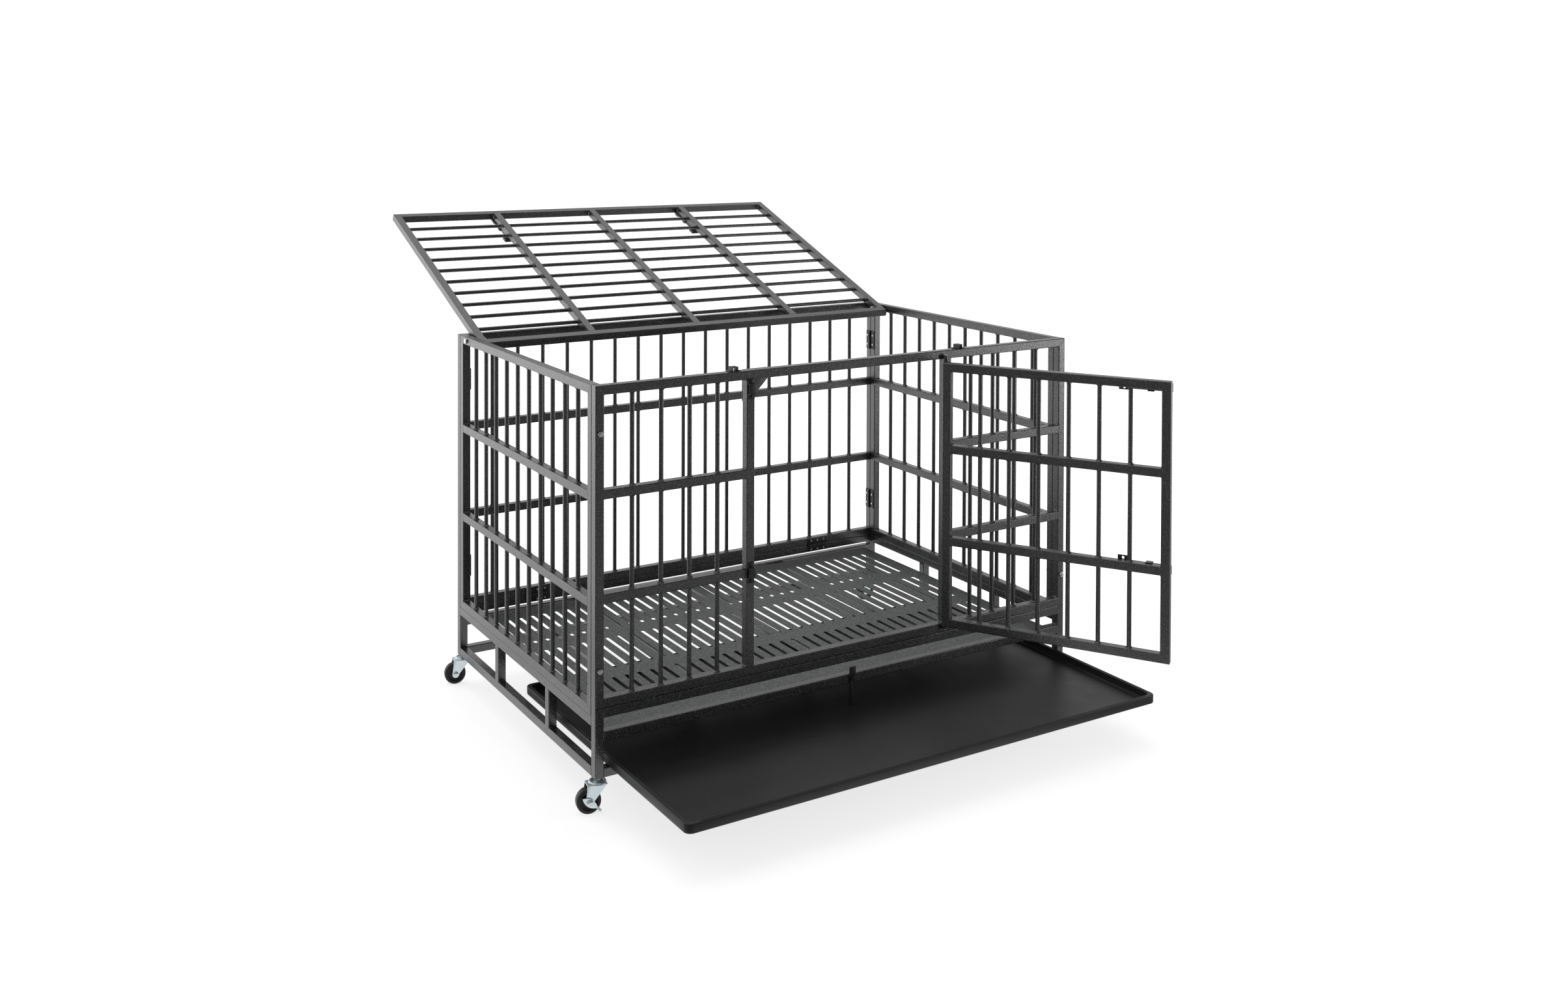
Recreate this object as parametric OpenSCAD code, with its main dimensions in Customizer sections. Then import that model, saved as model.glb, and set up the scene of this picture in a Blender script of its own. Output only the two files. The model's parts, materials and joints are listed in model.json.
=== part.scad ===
// Heavy duty dog crate: square-tube panels with round rods on a wheeled base, a front door set into
// the panel, a lid that swings back, a pull-out tray and four swivel casters.
// Millimetres. X runs to the right, Y to the back, Z up; the origin is on the floor below the middle.
// Drawn in its open pose: lid back, door open, tray pulled out, tray stop hanging.

/* [Crate] */
// Outside width of the panels
crate_w = 1220; // [1000:5:1300]
// Outside depth of the panels
crate_d = 765; // [650:5:850]
// Height of the panels' top faces above the floor
crate_h = 834; // [760:2:900]
// Outside size of the square tube
tube = 19; // [17:0.5:20]
// Wall of the square tube
tube_wall = 1.2; // [0.8:0.1:2]
// Corner radius of the square tube
tube_round = 2; // [1:0.1:2.5]
// Diameter of the round rods
rod_d = 9.5; // [6:0.5:12]
// Wall of the round rods
rod_wall = 1; // [0.8:0.1:2]
// Rods in each side panel
side_rod_count = 10; // [6:1:14]
// Rods in the back panel
back_rod_count = 17; // [10:1:20]
// Rods on each side of the doorway
front_rod_count = 4; // [2:1:6]

/* [Base] */
// Height of the base's side and back rails' tops above the underside of its posts
base_h = 117; // [105:1:130]
// Height of the floor bars' undersides above the underside of the posts
floor_bar_up = 71; // [60:1:76]
// Distance from the panel's front plane to the first side strut's middle
strut_front = 234; // [150:1:300]
// Distance between the side struts
strut_step = 280; // [200:1:320]
// Thickness of the slotted floor sheet
floor_sheet = 1.5; // [1:0.1:3]
// Mean gap between the floor sheet and the base's side rails
floor_side_gap = 15; // [13:0.5:30]
// Gap between the floor sheet and the base's back rail
floor_back_gap = 8; // [2:0.5:20]
// How far the floor sheet lies to the left of the middle
floor_shift = 10; // [0:1:12]
// Width of a floor slot
slot_w = 9.5; // [6:0.5:12]
// Distance between floor slots
slot_pitch = 30.4; // [24:0.2:40]
// Length of a long floor slot
slot_long = 173; // [100:1:180]
// Length of a short floor slot
slot_short = 72; // [40:1:90]
// Plain strip between two rows of slots
slot_land = 48.5; // [30:0.5:60]

/* [Door] */
// Width of the doorway
doorway_w = 496; // [400:2:520]
// Gap beside the door
door_side_gap = 2.5; // [2:0.1:4]
// Gap above the door
door_top_gap = 4; // [3:0.1:6]
// Gap below the door
door_low_gap = 3; // [2:0.1:5]
// How far the door stands out in front of the panel
door_proud = 0.4; // [0.3:0.05:1]
// Rods in the door
door_rod_count = 6; // [4:1:8]
// Angle of the door in the drawn pose
door_open = 122.7; // [0:0.1:170]
// Distance from the panel's front plane to the door's hinge axis
door_axis_out = 6.5; // [6.2:0.1:8]
// Diameter of a hinge knuckle
knuckle_d = 11; // [10:0.5:12]
// Height of a hinge knuckle
knuckle_h = 12; // [10:0.5:16]
// Diameter of a door hinge pin
door_pin_d = 6; // [5:0.5:7]

/* [Lid] */
// Gap between the lid and the side panels
lid_side_gap = 3; // [2:0.1:4]
// Gap between the lid and the front panel
lid_front_gap = 15; // [10:0.5:18]
// Gap between the lid and the back panel
lid_back_gap = 4; // [3.5:0.1:6]
// Distance from the lid's pivot to the back panel
lid_pivot_in = 41; // [38:0.5:44]
// Distance from the lid's pivot to the lid's outer face
lid_pivot_deep = 6; // [5.5:0.1:7]
// Gap left between the open lid and the back rail it leans on
lid_rest_gap = 0.3; // [0.3:0.05:1]
// Rods in the lid
lid_rod_count = 10; // [6:1:12]
// Crossbars in the lid
lid_bars = 3; // [3:2:5]

/* [Slide bolts] */
// Thickness of the door's flat slide bolts
bolt_t = 4; // [3:0.25:5]
// Thickness of the lid's slide bolts
lid_bolt_t = 7; // [5:0.25:8]
// Travel of a door slide bolt, until its ear meets the inner guide
door_bolt_travel = 36; // [30:0.5:50]
// Travel of a lid slide bolt, until its ear meets the inner guide
lid_bolt_travel = 51; // [45:0.5:65]
// Diameter of the padlock hole
padlock_d = 6; // [5:0.5:8]
// Thickness of the bent straps that guide and keep the bolts
strap_t = 2; // [1.5:0.1:2.5]

/* [Tray] */
// Gap between the tray and each side panel's plane
tray_side_gap = 10; // [6:0.5:14]
// Gap between the tray in its home place and the panels' back plane
tray_back_gap = 15; // [12:0.5:60]
// Height of the tray's rim
tray_h = 18.7; // [14:0.1:24]
// Width of the tray's rim
tray_rim = 9; // [6:0.5:12]
// Thickness of the tray's bottom
tray_bottom = 1.5; // [1.2:0.1:3]
// Radius of the tray's corners
tray_round = 14; // [10:0.5:20]
// How far the tray's home place lies behind the panel's front plane
tray_home_in = 15; // [8:0.5:16]
// How far the tray is pulled out in the drawn pose
tray_out = 331; // [120:1:340]
// Length of the tray stop above its rivet
stop_up = 25; // [15:0.5:30]
// Width of the tray stop
stop_w = 16; // [12:0.5:20]

/* [Casters] */
// Height of a caster, from the floor to the underside of a post
caster_h = 67; // [64:0.5:75]
// Diameter of a wheel
wheel_d = 50; // [46:0.5:51]
// Width of a wheel
wheel_w = 20; // [16:0.5:21]
// Distance that a wheel trails behind its stem
caster_trail = 18.5; // [17:0.5:22]
// Direction the casters trail in the drawn pose
caster_turn = 169.5; // [0:0.1:360]
// Thickness of a fork's sheet
fork_sheet = 2.5; // [2:0.1:3]

/* [Hidden] */
$fn = 48;

// Fits and clearances
weld_gap = 0.05;     // left at each welded joint inside one panel, filled by the weld
rod_fit = 0.1;       // around a rod where it passes through a mid rail
bolt_fit = 0.1;      // around a bolt in a drilled tube or nut
pin_fit = 0.06;      // radial, around a pin that something turns on
run_gap = 0.4;       // between faces that slide or turn past each other
play = 0.5;          // beside a slide bolt in its guides
past = 1;            // how far a cut runs beyond the face it opens

// Levels and planes
front_y = -crate_d / 2;
back_y = crate_d / 2;
left_x = -crate_w / 2;
right_x = crate_w / 2;
base_top = caster_h + base_h;
front_base_top = base_top + tube;
rail_top = caster_h + tube;
floor_bar_z = caster_h + floor_bar_up;
floor_drop = tube / 4;
floor_under = floor_bar_z + tube - floor_drop;
front_h = crate_h - front_base_top;
side_h = crate_h - base_top;
side_d = crate_d - 2 * tube;
mid_rails = 2;
base_clear_w = crate_w - 2 * tube;
floor_front_gap = 1;
floor_w = base_clear_w - 2 * floor_side_gap;
floor_d = side_d - floor_front_gap - floor_back_gap;
floor_support_step = base_clear_w / 4;
tray_runner_x = 0.3 * base_clear_w;

// Front panel and door
door_post_x = doorway_w / 2;
front_section = (crate_w - doorway_w) / 2 - 2 * tube;
door_w = doorway_w - 2 * door_side_gap;
door_z = front_base_top + tube + door_low_gap;
door_h = crate_h - tube - door_top_gap - door_z;
door_axis_in = 1.5;
knuckle_foot_in = 1.5;
door_pin_head_d = door_pin_d + 2;
door_pin_head_h = 2;
door_axis_x = doorway_w / 2 - door_axis_in;
door_axis_y = front_y - door_axis_out;
door_face_y = front_y - door_proud;

// Lid
lid_w = base_clear_w - 2 * lid_side_gap;
lid_front_y = front_y + tube + lid_front_gap;
lid_back_y = back_y - tube - lid_back_gap;
lid_d = lid_back_y - lid_front_y;
lid_pivot_y = back_y - tube - lid_pivot_in;
lid_pivot_z = crate_h - tube / 2;
lid_top = lid_pivot_z + lid_pivot_deep;
lid_lean = asin((lid_pivot_deep + lid_rest_gap) / norm([lid_pivot_in, tube / 2]));
lid_open = 180 - lid_lean - atan2(tube / 2, lid_pivot_in);
lid_bar_step = lid_w / (lid_bars + 1);

// Slide bolts: a bolt floats run_gap off its seat and has the same gap under its strap
// A door bolt is as wide as the tube that carries it, less the play on both sides
bolt_space = bolt_t + 2 * run_gap;
bolt_slot = tube;
lid_bolt_space = lid_bolt_t + 2 * run_gap;
lid_bolt_slot = 10;
lid_keeper_foot = 8;
keeper_foot = 12;
keeper_len = 16;
guide_foot = 5;
guide_len = 14;
upper_bolt_down = bolt_slot / 2 + guide_foot + play;
ear_len = 22;
ear_edge = 2;
lid_plate_in = 1;
lid_plate_len = 78;
lid_guide_in = 12;
lid_guide_step = 46;
lid_guide_x = lid_plate_in + lid_guide_in;
door_bolt_len = 2 * tube + guide_len + run_gap + door_bolt_travel + ear_len;
lid_bolt_len = lid_guide_x + lid_guide_step + guide_len / 2 + run_gap + lid_bolt_travel + ear_len;
lid_bolt_base = crate_h - lid_top;
door_bolt_z = [door_z + door_h - upper_bolt_down, door_mid_z(1) + tube / 2];
door_left_x = -door_w / 2;

// Hardware
screw_d = 6;
screw_head_d = 12;
screw_head_h = 4;
nut_across = 10;
nut_h = 5;
thread_out = 3;
corner_bolt_low = 74;
corner_bolt_high = 94;
hinge_sheet = 2;
hinge_leaf_w = 17;
hinge_h = 50;
base_hinge_w = 60;
hinge_knuckle_d = 6;
hinge_axis_lift = 0.2;
hinge_axis_up = hinge_knuckle_d / 2 + hinge_axis_lift;
hinge_pin_d = 3;
rivet_d = 5;
rivet_h = 1.2;
corner_hinge_low = 102;
corner_hinge_high = 104;
base_hinge_in = 197;
base_hinge_x = crate_w / 2 - base_hinge_in;
stop_plate_t = 2;
stop_plate_leg = 47;

// Tray and its stop
tray_w = base_clear_w - 2 * tray_side_gap;
tray_d = crate_d - tray_home_in - tray_back_gap;
tray_z = rail_top + run_gap;
tray_front_y = front_y + tray_home_in - tray_out;
tray_groove_w = 2;
tray_groove_deep = 1.2;
stop_t = 2;
stop_pivot_z = floor_bar_z + tube / 2;
stop_over_tray = 1.2;
stop_low_z = tray_z + tray_bottom + stop_over_tray;
stop_rivet_head_d = 10;
stop_rivet_head_h = 2;
stop_rivet_deep = 5;

// Casters
axle_z = wheel_d / 2;
axle_d = 8;
stem_d = 10;
stem_head_d = 16;
stem_head_h = 3;
plug_h = 26;
cup_d = 36;
cup_h = 8.6;
cup_sheet = 1.2;
cup_rim_h = 3.6;
cup_rim_d = 32.4;
cup_well_d = 26.8;
cup_floor_d = 24.4;
cup_boss_d = 14;
fork_top = caster_h - cup_h - run_gap;
wheel_side_gap = 1;
fork_inner = wheel_w + 2 * wheel_side_gap;
fork_outer = fork_inner + 2 * fork_sheet;
fork_back = 17;
fork_front = 22.5;
fork_disc_d = 36;
fork_eye_r = 8;
axle_head_d = 13;
axle_head_h = 3.5;
lever_t = 2;
lever_r = 26;
lever_half = 7.5;
lever_room = lever_t + 2 * run_gap;
lever_tilt = 35;
pedal_out = 9;
pedal_t = 2;
pedal_w = 5;
pedal_in = 3;
pedal_slant = 8;
wheel_hub_d = 20;
wheel_dish = 3;
wheel_rim_t = 9;
wheel_chamfer = 2;
wheel_dish_slope = 1;

// Height of the underside of mid rail i of a panel of height h that starts at z
function mid_z(z, h, i) = z + tube + i * (h - (2 + mid_rails) * tube) / (mid_rails + 1) + (i - 1) * tube;

// Mid rail heights of the door follow those of the front panel
function door_mid_z(i) = mid_z(front_base_top, front_h, i);

// Places of n rods in a clear width
function rod_x(clear, n, i) = i * clear / (n + 1);

// Square with rounded corners, centred
module round_square(w, d, r) {
  square([w, d - 2 * r], center = true);
  square([w - 2 * r, d], center = true);
  for (x = [-1, 1], y = [-1, 1])
    translate([x * (w / 2 - r), y * (d / 2 - r)])
      circle(r = r);
}

// Square tube along X, from the origin, with one corner edge on the X axis
module bar_x(length) {
  translate([0, tube / 2, tube / 2])
    rotate([90, 0, 90])
      linear_extrude(length)
        difference() {
          round_square(tube, tube, tube_round);
          square(tube - 2 * tube_wall, center = true);
        }
}

module bar_y(length) {
  mirror([1, -1, 0])
    bar_x(length);
}

module bar_z(length) {
  mirror([1, 0, -1])
    bar_x(length);
}

// Square tube along X with mitred ends; its long side lies at z = 0
module mitred_bar(length) {
  intersection() {
    bar_x(length);
    translate([0, tube + past, 0])
      rotate([90, 0, 0])
        linear_extrude(tube + 2 * past)
          polygon([[weld_gap, 0], [length - weld_gap, 0],
            [length - tube - weld_gap, tube], [tube + weld_gap, tube]]);
  }
}

// Mitred frame in the XZ plane, from the origin, one tube thick in Y
module mitred_frame(w, h) {
  for (side = [0, 1]) {
    translate([0, 0, side * h])
      mirror([0, 0, side])
        mitred_bar(w);
    translate([side * w, 0, 0])
      mirror([side, 0, 0])
        mirror([1, 0, -1])
          mitred_bar(h);
  }
}

// Tube between two uprights of one panel, drilled for n rods
module drilled_rail(clear, n) {
  difference() {
    translate([weld_gap, 0, 0])
      bar_x(clear - 2 * weld_gap);
    for (i = [1:n])
      translate([rod_x(clear, n, i), tube / 2, -past])
        cylinder(d = rod_d + 2 * rod_fit, h = tube + 2 * past);
  }
}

// Hollow round rod along Z
module rod(length) {
  difference() {
    cylinder(d = rod_d, h = length);
    translate([0, 0, -past])
      cylinder(d = rod_d - 2 * rod_wall, h = length + 2 * past);
  }
}

// Row of n upright rods in the XZ plane
module rod_row(clear, h, n) {
  for (i = [1:n])
    translate([rod_x(clear, n, i), tube / 2, tube])
      rod(h - 2 * tube);
}

// Panel with mid rails in the XZ plane, without its rods
module barred_frame(w, h, n) {
  mitred_frame(w, h);
  for (i = [1:mid_rails])
    translate([tube, 0, mid_z(0, h, i)])
      drilled_rail(w - 2 * tube, n);
}

// Turn a panel drawn in the XZ plane so that it runs along Y
module along_y() {
  mirror([1, -1, 0])
    children();
}

// Bent strap over a slide bolt that runs along X; its feet stand on z = 0
module omega_strap(length, inside_h, foot, slot) {
  half = slot / 2;
  translate([-length / 2, 0, 0])
    rotate([90, 0, 90])
      linear_extrude(length)
        polygon([[-half - foot, 0], [-half, 0], [-half, inside_h], [half, inside_h], [half, 0],
          [half + foot, 0], [half + foot, strap_t], [half + strap_t, strap_t],
          [half + strap_t, inside_h + strap_t], [-half - strap_t, inside_h + strap_t],
          [-half - strap_t, strap_t], [-half - foot, strap_t]]);
}

// Reach of a padlock ear whose hole just clears the edge of the tube behind it
function ear_reach(tube_edge) = tube_edge + padlock_d + ear_edge;

// Slide bolt along X from its tip at the origin, with a padlock ear at its far end
// The ear reaches from the bolt's middle line past the tube's edge, on the side given by ear_side
module slide_bolt(length, slot, thick, ear_side, tube_edge) {
  wide = slot - 2 * play;
  reach = ear_reach(tube_edge);
  difference() {
    union() {
      translate([0, -wide / 2, 0])
        cube([length, wide, thick]);
      translate([length - ear_len, ear_side > 0 ? 0 : -reach, 0])
        cube([ear_len, reach, thick]);
    }
    translate([length - ear_len / 2, ear_side * (tube_edge + padlock_d / 2), -past])
      cylinder(d = padlock_d, h = thick + 2 * past);
  }
}

// Screw along Z: head below z = 0, shank up to the length
module screw(length) {
  translate([0, 0, -screw_head_h])
    cylinder(d = screw_head_d, h = screw_head_h);
  cylinder(d = screw_d, h = length);
}

// Hexagon nut on z = 0
module nut() {
  difference() {
    cylinder(d = nut_across / cos(30), h = nut_h, $fn = 6);
    translate([0, 0, -past])
      cylinder(d = screw_d + 2 * bolt_fit, h = nut_h + 2 * past);
  }
}

module screw_hole(length) {
  cylinder(d = screw_d + 2 * bolt_fit, h = length);
}

// One leaf of a butt hinge on the XY plane: knuckle axis along Y at x = 0, leaf towards +X
module hinge_leaf(w, centre_knuckle) {
  step = w / 3;
  first = hinge_knuckle_d / 2 + run_gap;
  segments = centre_knuckle ? [1] : [0, 2];
  difference() {
    union() {
      translate([first, -w / 2, 0])
        cube([hinge_leaf_w - first, w, hinge_sheet]);
      for (s = segments)
        translate([0, -w / 2 + s * step + run_gap / 2, 0]) {
          translate([0, 0, hinge_axis_up])
            rotate([-90, 0, 0])
              cylinder(d = hinge_knuckle_d, h = step - run_gap);
          cube([first, step - run_gap, hinge_sheet]);
        }
    }
    translate([0, -w / 2 - past, hinge_axis_up])
      rotate([-90, 0, 0])
        cylinder(d = hinge_pin_d + 2 * pin_fit, h = w + 2 * past);
  }
}

module hinge_pin(w) {
  translate([0, -w / 2, hinge_axis_up])
    rotate([-90, 0, 0])
      cylinder(d = hinge_pin_d, h = w);
}

module hinge_rivets(w, n) {
  for (side = [-1, 1], i = [1:n])
    translate([side * (hinge_leaf_w + hinge_knuckle_d) / 2, -w / 2 + (i - 0.5) * w / n, hinge_sheet])
      cylinder(d = rivet_d, h = rivet_h);
}

// Places of the hinges between the back panel and the side panels
module at_corner_hinges() {
  for (side = [-1, 1], z = [base_top + corner_hinge_low, crate_h - corner_hinge_high])
    translate([side * (right_x - tube), back_y - tube, z])
      rotate([0, 0, side < 0 ? 0 : 180])
        rotate([90, 0, 90])
          children();
}

// Places of the hinges between the back panel and the base
module at_base_hinges() {
  for (side = [-1, 1])
    translate([side * base_hinge_x, back_y - tube, base_top])
      rotate([90, 0, 0])
        rotate([0, 0, 90])
          children();
}

// Places of the bolts through the front panel and the side panels
module at_corner_bolts() {
  for (side = [-1, 1], z = [front_base_top + corner_bolt_low, crate_h - corner_bolt_high])
    translate([side * (right_x - tube / 2), front_y + 2 * tube, z])
      rotate([90, 0, 0])
        children();
}

// Places of the lid's pivot bolts, with Z pointing into the crate
module at_lid_pivots() {
  for (side = [-1, 1])
    translate([side * right_x, lid_pivot_y, lid_pivot_z])
      rotate([0, -side * 90, 0])
        children();
}

module open_lid() {
  translate([0, lid_pivot_y, lid_pivot_z])
    rotate([-lid_open, 0, 0])
      translate([0, -lid_pivot_y, -lid_pivot_z])
        children();
}

module open_door() {
  translate([door_axis_x, door_axis_y, 0])
    rotate([0, 0, door_open])
      translate([-door_axis_x, -door_axis_y, 0])
        children();
}

// Caster places: x side, y side
module at_caster(side_x, side_y) {
  translate([side_x * (right_x - tube / 2), side_y * (back_y - tube / 2), 0])
    children();
}

module at_casters() {
  for (x = [-1, 1], y = [-1, 1])
    at_caster(x, y)
      children();
}

// Base

module base_posts() {
  color("dimgray")
    for (x = [-1, 1], y = [-1, 1])
      translate([x * (right_x - tube / 2) - tube / 2, y * (back_y - tube / 2) - tube / 2, caster_h])
        bar_z(y < 0 ? base_h + tube : base_h);
}

module base_bottom_rails() {
  color("dimgray") {
    for (y = [front_y, back_y - tube])
      translate([left_x + tube, y, caster_h])
        bar_x(base_clear_w);
    for (x = [left_x, right_x - tube])
      translate([x, front_y + tube, caster_h])
        bar_y(side_d);
  }
}

module base_top_rails() {
  color("dimgray") {
    translate([left_x + tube, front_y, base_top])
      bar_x(base_clear_w);
    translate([left_x + tube, back_y - tube, base_top - tube])
      bar_x(base_clear_w);
    for (x = [left_x, right_x - tube])
      translate([x, front_y + tube, base_top - tube])
        bar_y(side_d);
  }
}

module floor_bars() {
  color("dimgray")
    difference() {
      for (y = [front_y, back_y - tube])
        translate([left_x + tube, y, floor_bar_z])
          bar_x(base_clear_w);
      translate([0, front_y + tube / 2, stop_pivot_z])
        rotate([90, 0, 0])
          screw_hole(tube);
    }
}

module side_struts() {
  color("dimgray")
    for (x = [left_x, right_x - tube], i = [0, 1])
      translate([x, front_y + strut_front + i * strut_step - tube / 2, rail_top])
        bar_z(base_h - 2 * tube);
}

module floor_supports() {
  color("dimgray")
    for (i = [-1:1])
      translate([i * floor_support_step - tube / 2, front_y + tube, floor_under - tube])
        bar_y(side_d);
}

module tray_runners() {
  color("dimgray")
    for (side = [-1, 1])
      translate([side * tray_runner_x - tube / 2, front_y + tube, caster_h])
        bar_y(side_d);
}

module floor_panel() {
  slots = floor((floor_w - 2 * slot_land + slot_w) / slot_pitch) + 1;
  back_edge = floor_d - slot_land;
  rows = [[back_edge - slot_long, slot_long],
    [back_edge - 2 * slot_long - slot_land, slot_long],
    [back_edge - 2 * slot_long - 2 * slot_land - slot_short, slot_short]];
  color("gray")
    translate([-floor_w / 2 - floor_shift, front_y + tube + floor_front_gap, floor_under])
      linear_extrude(floor_sheet)
        difference() {
          square([floor_w, floor_d]);
          for (row = rows, i = [0:slots - 1])
            translate([floor_w / 2 + (i - (slots - 1) / 2) * slot_pitch, row[0]]) {
              translate([-slot_w / 2, slot_w / 2])
                square([slot_w, row[1] - slot_w]);
              for (end = [slot_w / 2, row[1] - slot_w / 2])
                translate([0, end])
                  circle(d = slot_w);
            }
        }
}

// Panels

module front_panel_frame() {
  color("dimgray")
    translate([left_x, front_y, front_base_top])
      difference() {
        union() {
          mitred_frame(crate_w, front_h);
          for (side = [-1, 1])
            translate([crate_w / 2 + side * (door_post_x + tube / 2) - tube / 2, 0, tube + weld_gap])
              bar_z(front_h - 2 * tube - 2 * weld_gap);
          for (x = [tube, crate_w - tube - front_section], i = [1:mid_rails])
            translate([x, 0, mid_z(0, front_h, i)])
              drilled_rail(front_section, front_rod_count);
        }
        translate([-left_x, -front_y, -front_base_top])
          at_corner_bolts()
            screw_hole(2 * tube + past);
      }
}

module front_panel_rods() {
  color("dimgray")
    for (x = [left_x + tube, right_x - tube - front_section])
      translate([x, front_y, front_base_top])
        rod_row(front_section, front_h, front_rod_count);
}

module side_panel_frame(side) {
  color("dimgray")
    difference() {
      translate([side * (right_x - tube / 2) - tube / 2, front_y + tube, base_top])
        along_y()
          barred_frame(side_d, side_h, side_rod_count);
      at_corner_bolts()
        translate([0, 0, -past])
          screw_hole(tube + 2 * past);
      at_lid_pivots()
        translate([0, 0, -past])
          screw_hole(tube + 2 * past);
    }
}

module side_panel_rods(side) {
  color("dimgray")
    translate([side * (right_x - tube / 2) - tube / 2, front_y + 2 * tube, base_top])
      along_y()
        rod_row(side_d - 2 * tube, side_h, side_rod_count);
}

module left_panel_frame() {
  side_panel_frame(-1);
}

module left_panel_rods() {
  side_panel_rods(-1);
}

module right_panel_frame() {
  side_panel_frame(1);
}

module right_panel_rods() {
  side_panel_rods(1);
}

module back_panel_frame() {
  color("dimgray")
    translate([left_x, back_y - tube, base_top])
      barred_frame(crate_w, side_h, back_rod_count);
}

module back_panel_rods() {
  color("dimgray")
    translate([left_x + tube, back_y - tube, base_top])
      rod_row(base_clear_w, side_h, back_rod_count);
}

// Plate behind the doorway's top left corner that the closed door comes to rest against
module door_stop_plate() {
  color("dimgray")
    translate([-door_post_x - tube, front_y + tube + stop_plate_t, crate_h])
      rotate([90, 0, 0])
        linear_extrude(stop_plate_t)
          polygon([[0, 0], [tube + stop_plate_leg, 0], [tube + stop_plate_leg, -tube],
            [tube, -tube - stop_plate_leg], [0, -tube - stop_plate_leg]]);
}

module door_keepers() {
  color("black")
    for (z = door_bolt_z)
      translate([-door_post_x - tube / 2, front_y, z])
        rotate([90, 0, 0])
          omega_strap(keeper_len, bolt_space + door_proud, keeper_foot, bolt_slot);
}

module lid_keepers() {
  color("black")
    for (side = [-1, 1])
      translate([side * lid_bar_step * (lid_bars - 1) / 2, front_y + tube / 2, crate_h])
        rotate([0, 0, 90])
          omega_strap(keeper_len, lid_bolt_space, lid_keeper_foot, lid_bolt_slot);
}

module corner_bolts() {
  color("silver")
    at_corner_bolts()
      screw(2 * tube + nut_h + thread_out);
}

module corner_nuts() {
  color("silver")
    at_corner_bolts()
      translate([0, 0, 2 * tube])
        nut();
}

module hinge_leaves(w) {
  hinge_leaf(w, true);
  mirror([1, 0, 0])
    hinge_leaf(w, false);
}

module panel_hinge_leaves() {
  color("black") {
    at_corner_hinges()
      hinge_leaves(hinge_h);
    at_base_hinges()
      hinge_leaves(base_hinge_w);
  }
}

module panel_hinge_pins() {
  color("silver") {
    at_corner_hinges()
      hinge_pin(hinge_h);
    at_base_hinges()
      hinge_pin(base_hinge_w);
  }
}

module panel_hinge_rivets() {
  color("silver") {
    at_corner_hinges()
      hinge_rivets(hinge_h, 2);
    at_base_hinges()
      hinge_rivets(base_hinge_w, 3);
  }
}

// Door hinge: a fixed knuckle beyond each end of the door, a door knuckle inside it

module knuckle(foot_x, foot_w, foot_deep) {
  difference() {
    union() {
      cylinder(d = knuckle_d, h = knuckle_h);
      translate([foot_x, 0, 0])
        cube([foot_w, foot_deep, knuckle_h]);
    }
    translate([0, 0, -past])
      cylinder(d = door_pin_d + 2 * pin_fit, h = knuckle_h + 2 * past);
  }
}

module frame_hinge_knuckles() {
  color("dimgray")
    for (z = [door_z + door_h + run_gap, door_z - run_gap - knuckle_h])
      translate([door_axis_x, door_axis_y, z])
        knuckle(0, knuckle_d / 2, door_axis_out);
}

module door_hinge_knuckles() {
  color("dimgray")
    open_door()
      for (z = [door_z, door_z + door_h - knuckle_h])
        translate([door_axis_x, door_axis_y, z])
          knuckle(-knuckle_d, knuckle_d - door_pin_d / 2 - knuckle_foot_in, door_axis_out - door_proud);
}

module door_hinge_pins() {
  color("silver")
    for (end = [-1, 1])
      translate([door_axis_x, door_axis_y, door_z + door_h / 2 + end * door_h / 2])
        mirror([0, 0, end < 0 ? 1 : 0]) {
          translate([0, 0, -knuckle_h])
            cylinder(d = door_pin_d, h = 2 * knuckle_h + 2 * run_gap);
          translate([0, 0, knuckle_h + 2 * run_gap])
            cylinder(d = door_pin_head_d, h = door_pin_head_h);
        }
}

module lid_pivot_bolts() {
  color("silver")
    at_lid_pivots()
      screw(2 * tube + lid_side_gap + run_gap + nut_h + thread_out);
}

module lid_pivot_nuts() {
  color("silver")
    at_lid_pivots()
      translate([0, 0, 2 * tube + lid_side_gap + run_gap])
        nut();
}

// Lid, drawn closed and swung open

module lid_frame() {
  color("dimgray")
    open_lid()
      difference() {
        translate([-lid_w / 2, lid_front_y, lid_top])
          rotate([-90, 0, 0]) {
            mitred_frame(lid_w, lid_d);
            for (i = [1:lid_bars])
              translate([i * lid_bar_step - tube / 2, 0, tube])
                mirror([1, 0, -1])
                  drilled_rail(lid_d - 2 * tube, lid_rod_count);
          }
        at_lid_pivots()
          translate([0, 0, tube + past])
            cylinder(d = screw_d + 2 * pin_fit, h = tube + lid_side_gap);
      }
}

module lid_rods() {
  color("dimgray")
    open_lid()
      for (i = [1:lid_rod_count])
        translate([-lid_w / 2 + tube, lid_front_y + tube + rod_x(lid_d - 2 * tube, lid_rod_count, i),
            lid_top - tube / 2])
          rotate([0, 90, 0])
            rod(lid_w - 2 * tube);
}

// Places of the lid's slide bolts on the closed lid: X runs back from the lid's front edge
module at_lid_bolt(side) {
  translate([side * lid_bar_step * (lid_bars - 1) / 2, lid_front_y, lid_top])
    rotate([0, 0, 90])
      children();
}

module lid_bolt_guides() {
  plate_w = lid_bolt_slot + 2 * lid_keeper_foot;
  color("black")
    open_lid()
      for (side = [-1, 1])
        at_lid_bolt(side) {
          translate([lid_plate_in, -plate_w / 2, 0])
            cube([lid_plate_len, plate_w, lid_bolt_base]);
          for (i = [0, 1])
            translate([lid_guide_x + i * lid_guide_step, 0, lid_bolt_base])
              omega_strap(guide_len, lid_bolt_space, lid_keeper_foot, lid_bolt_slot);
        }
}

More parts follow.
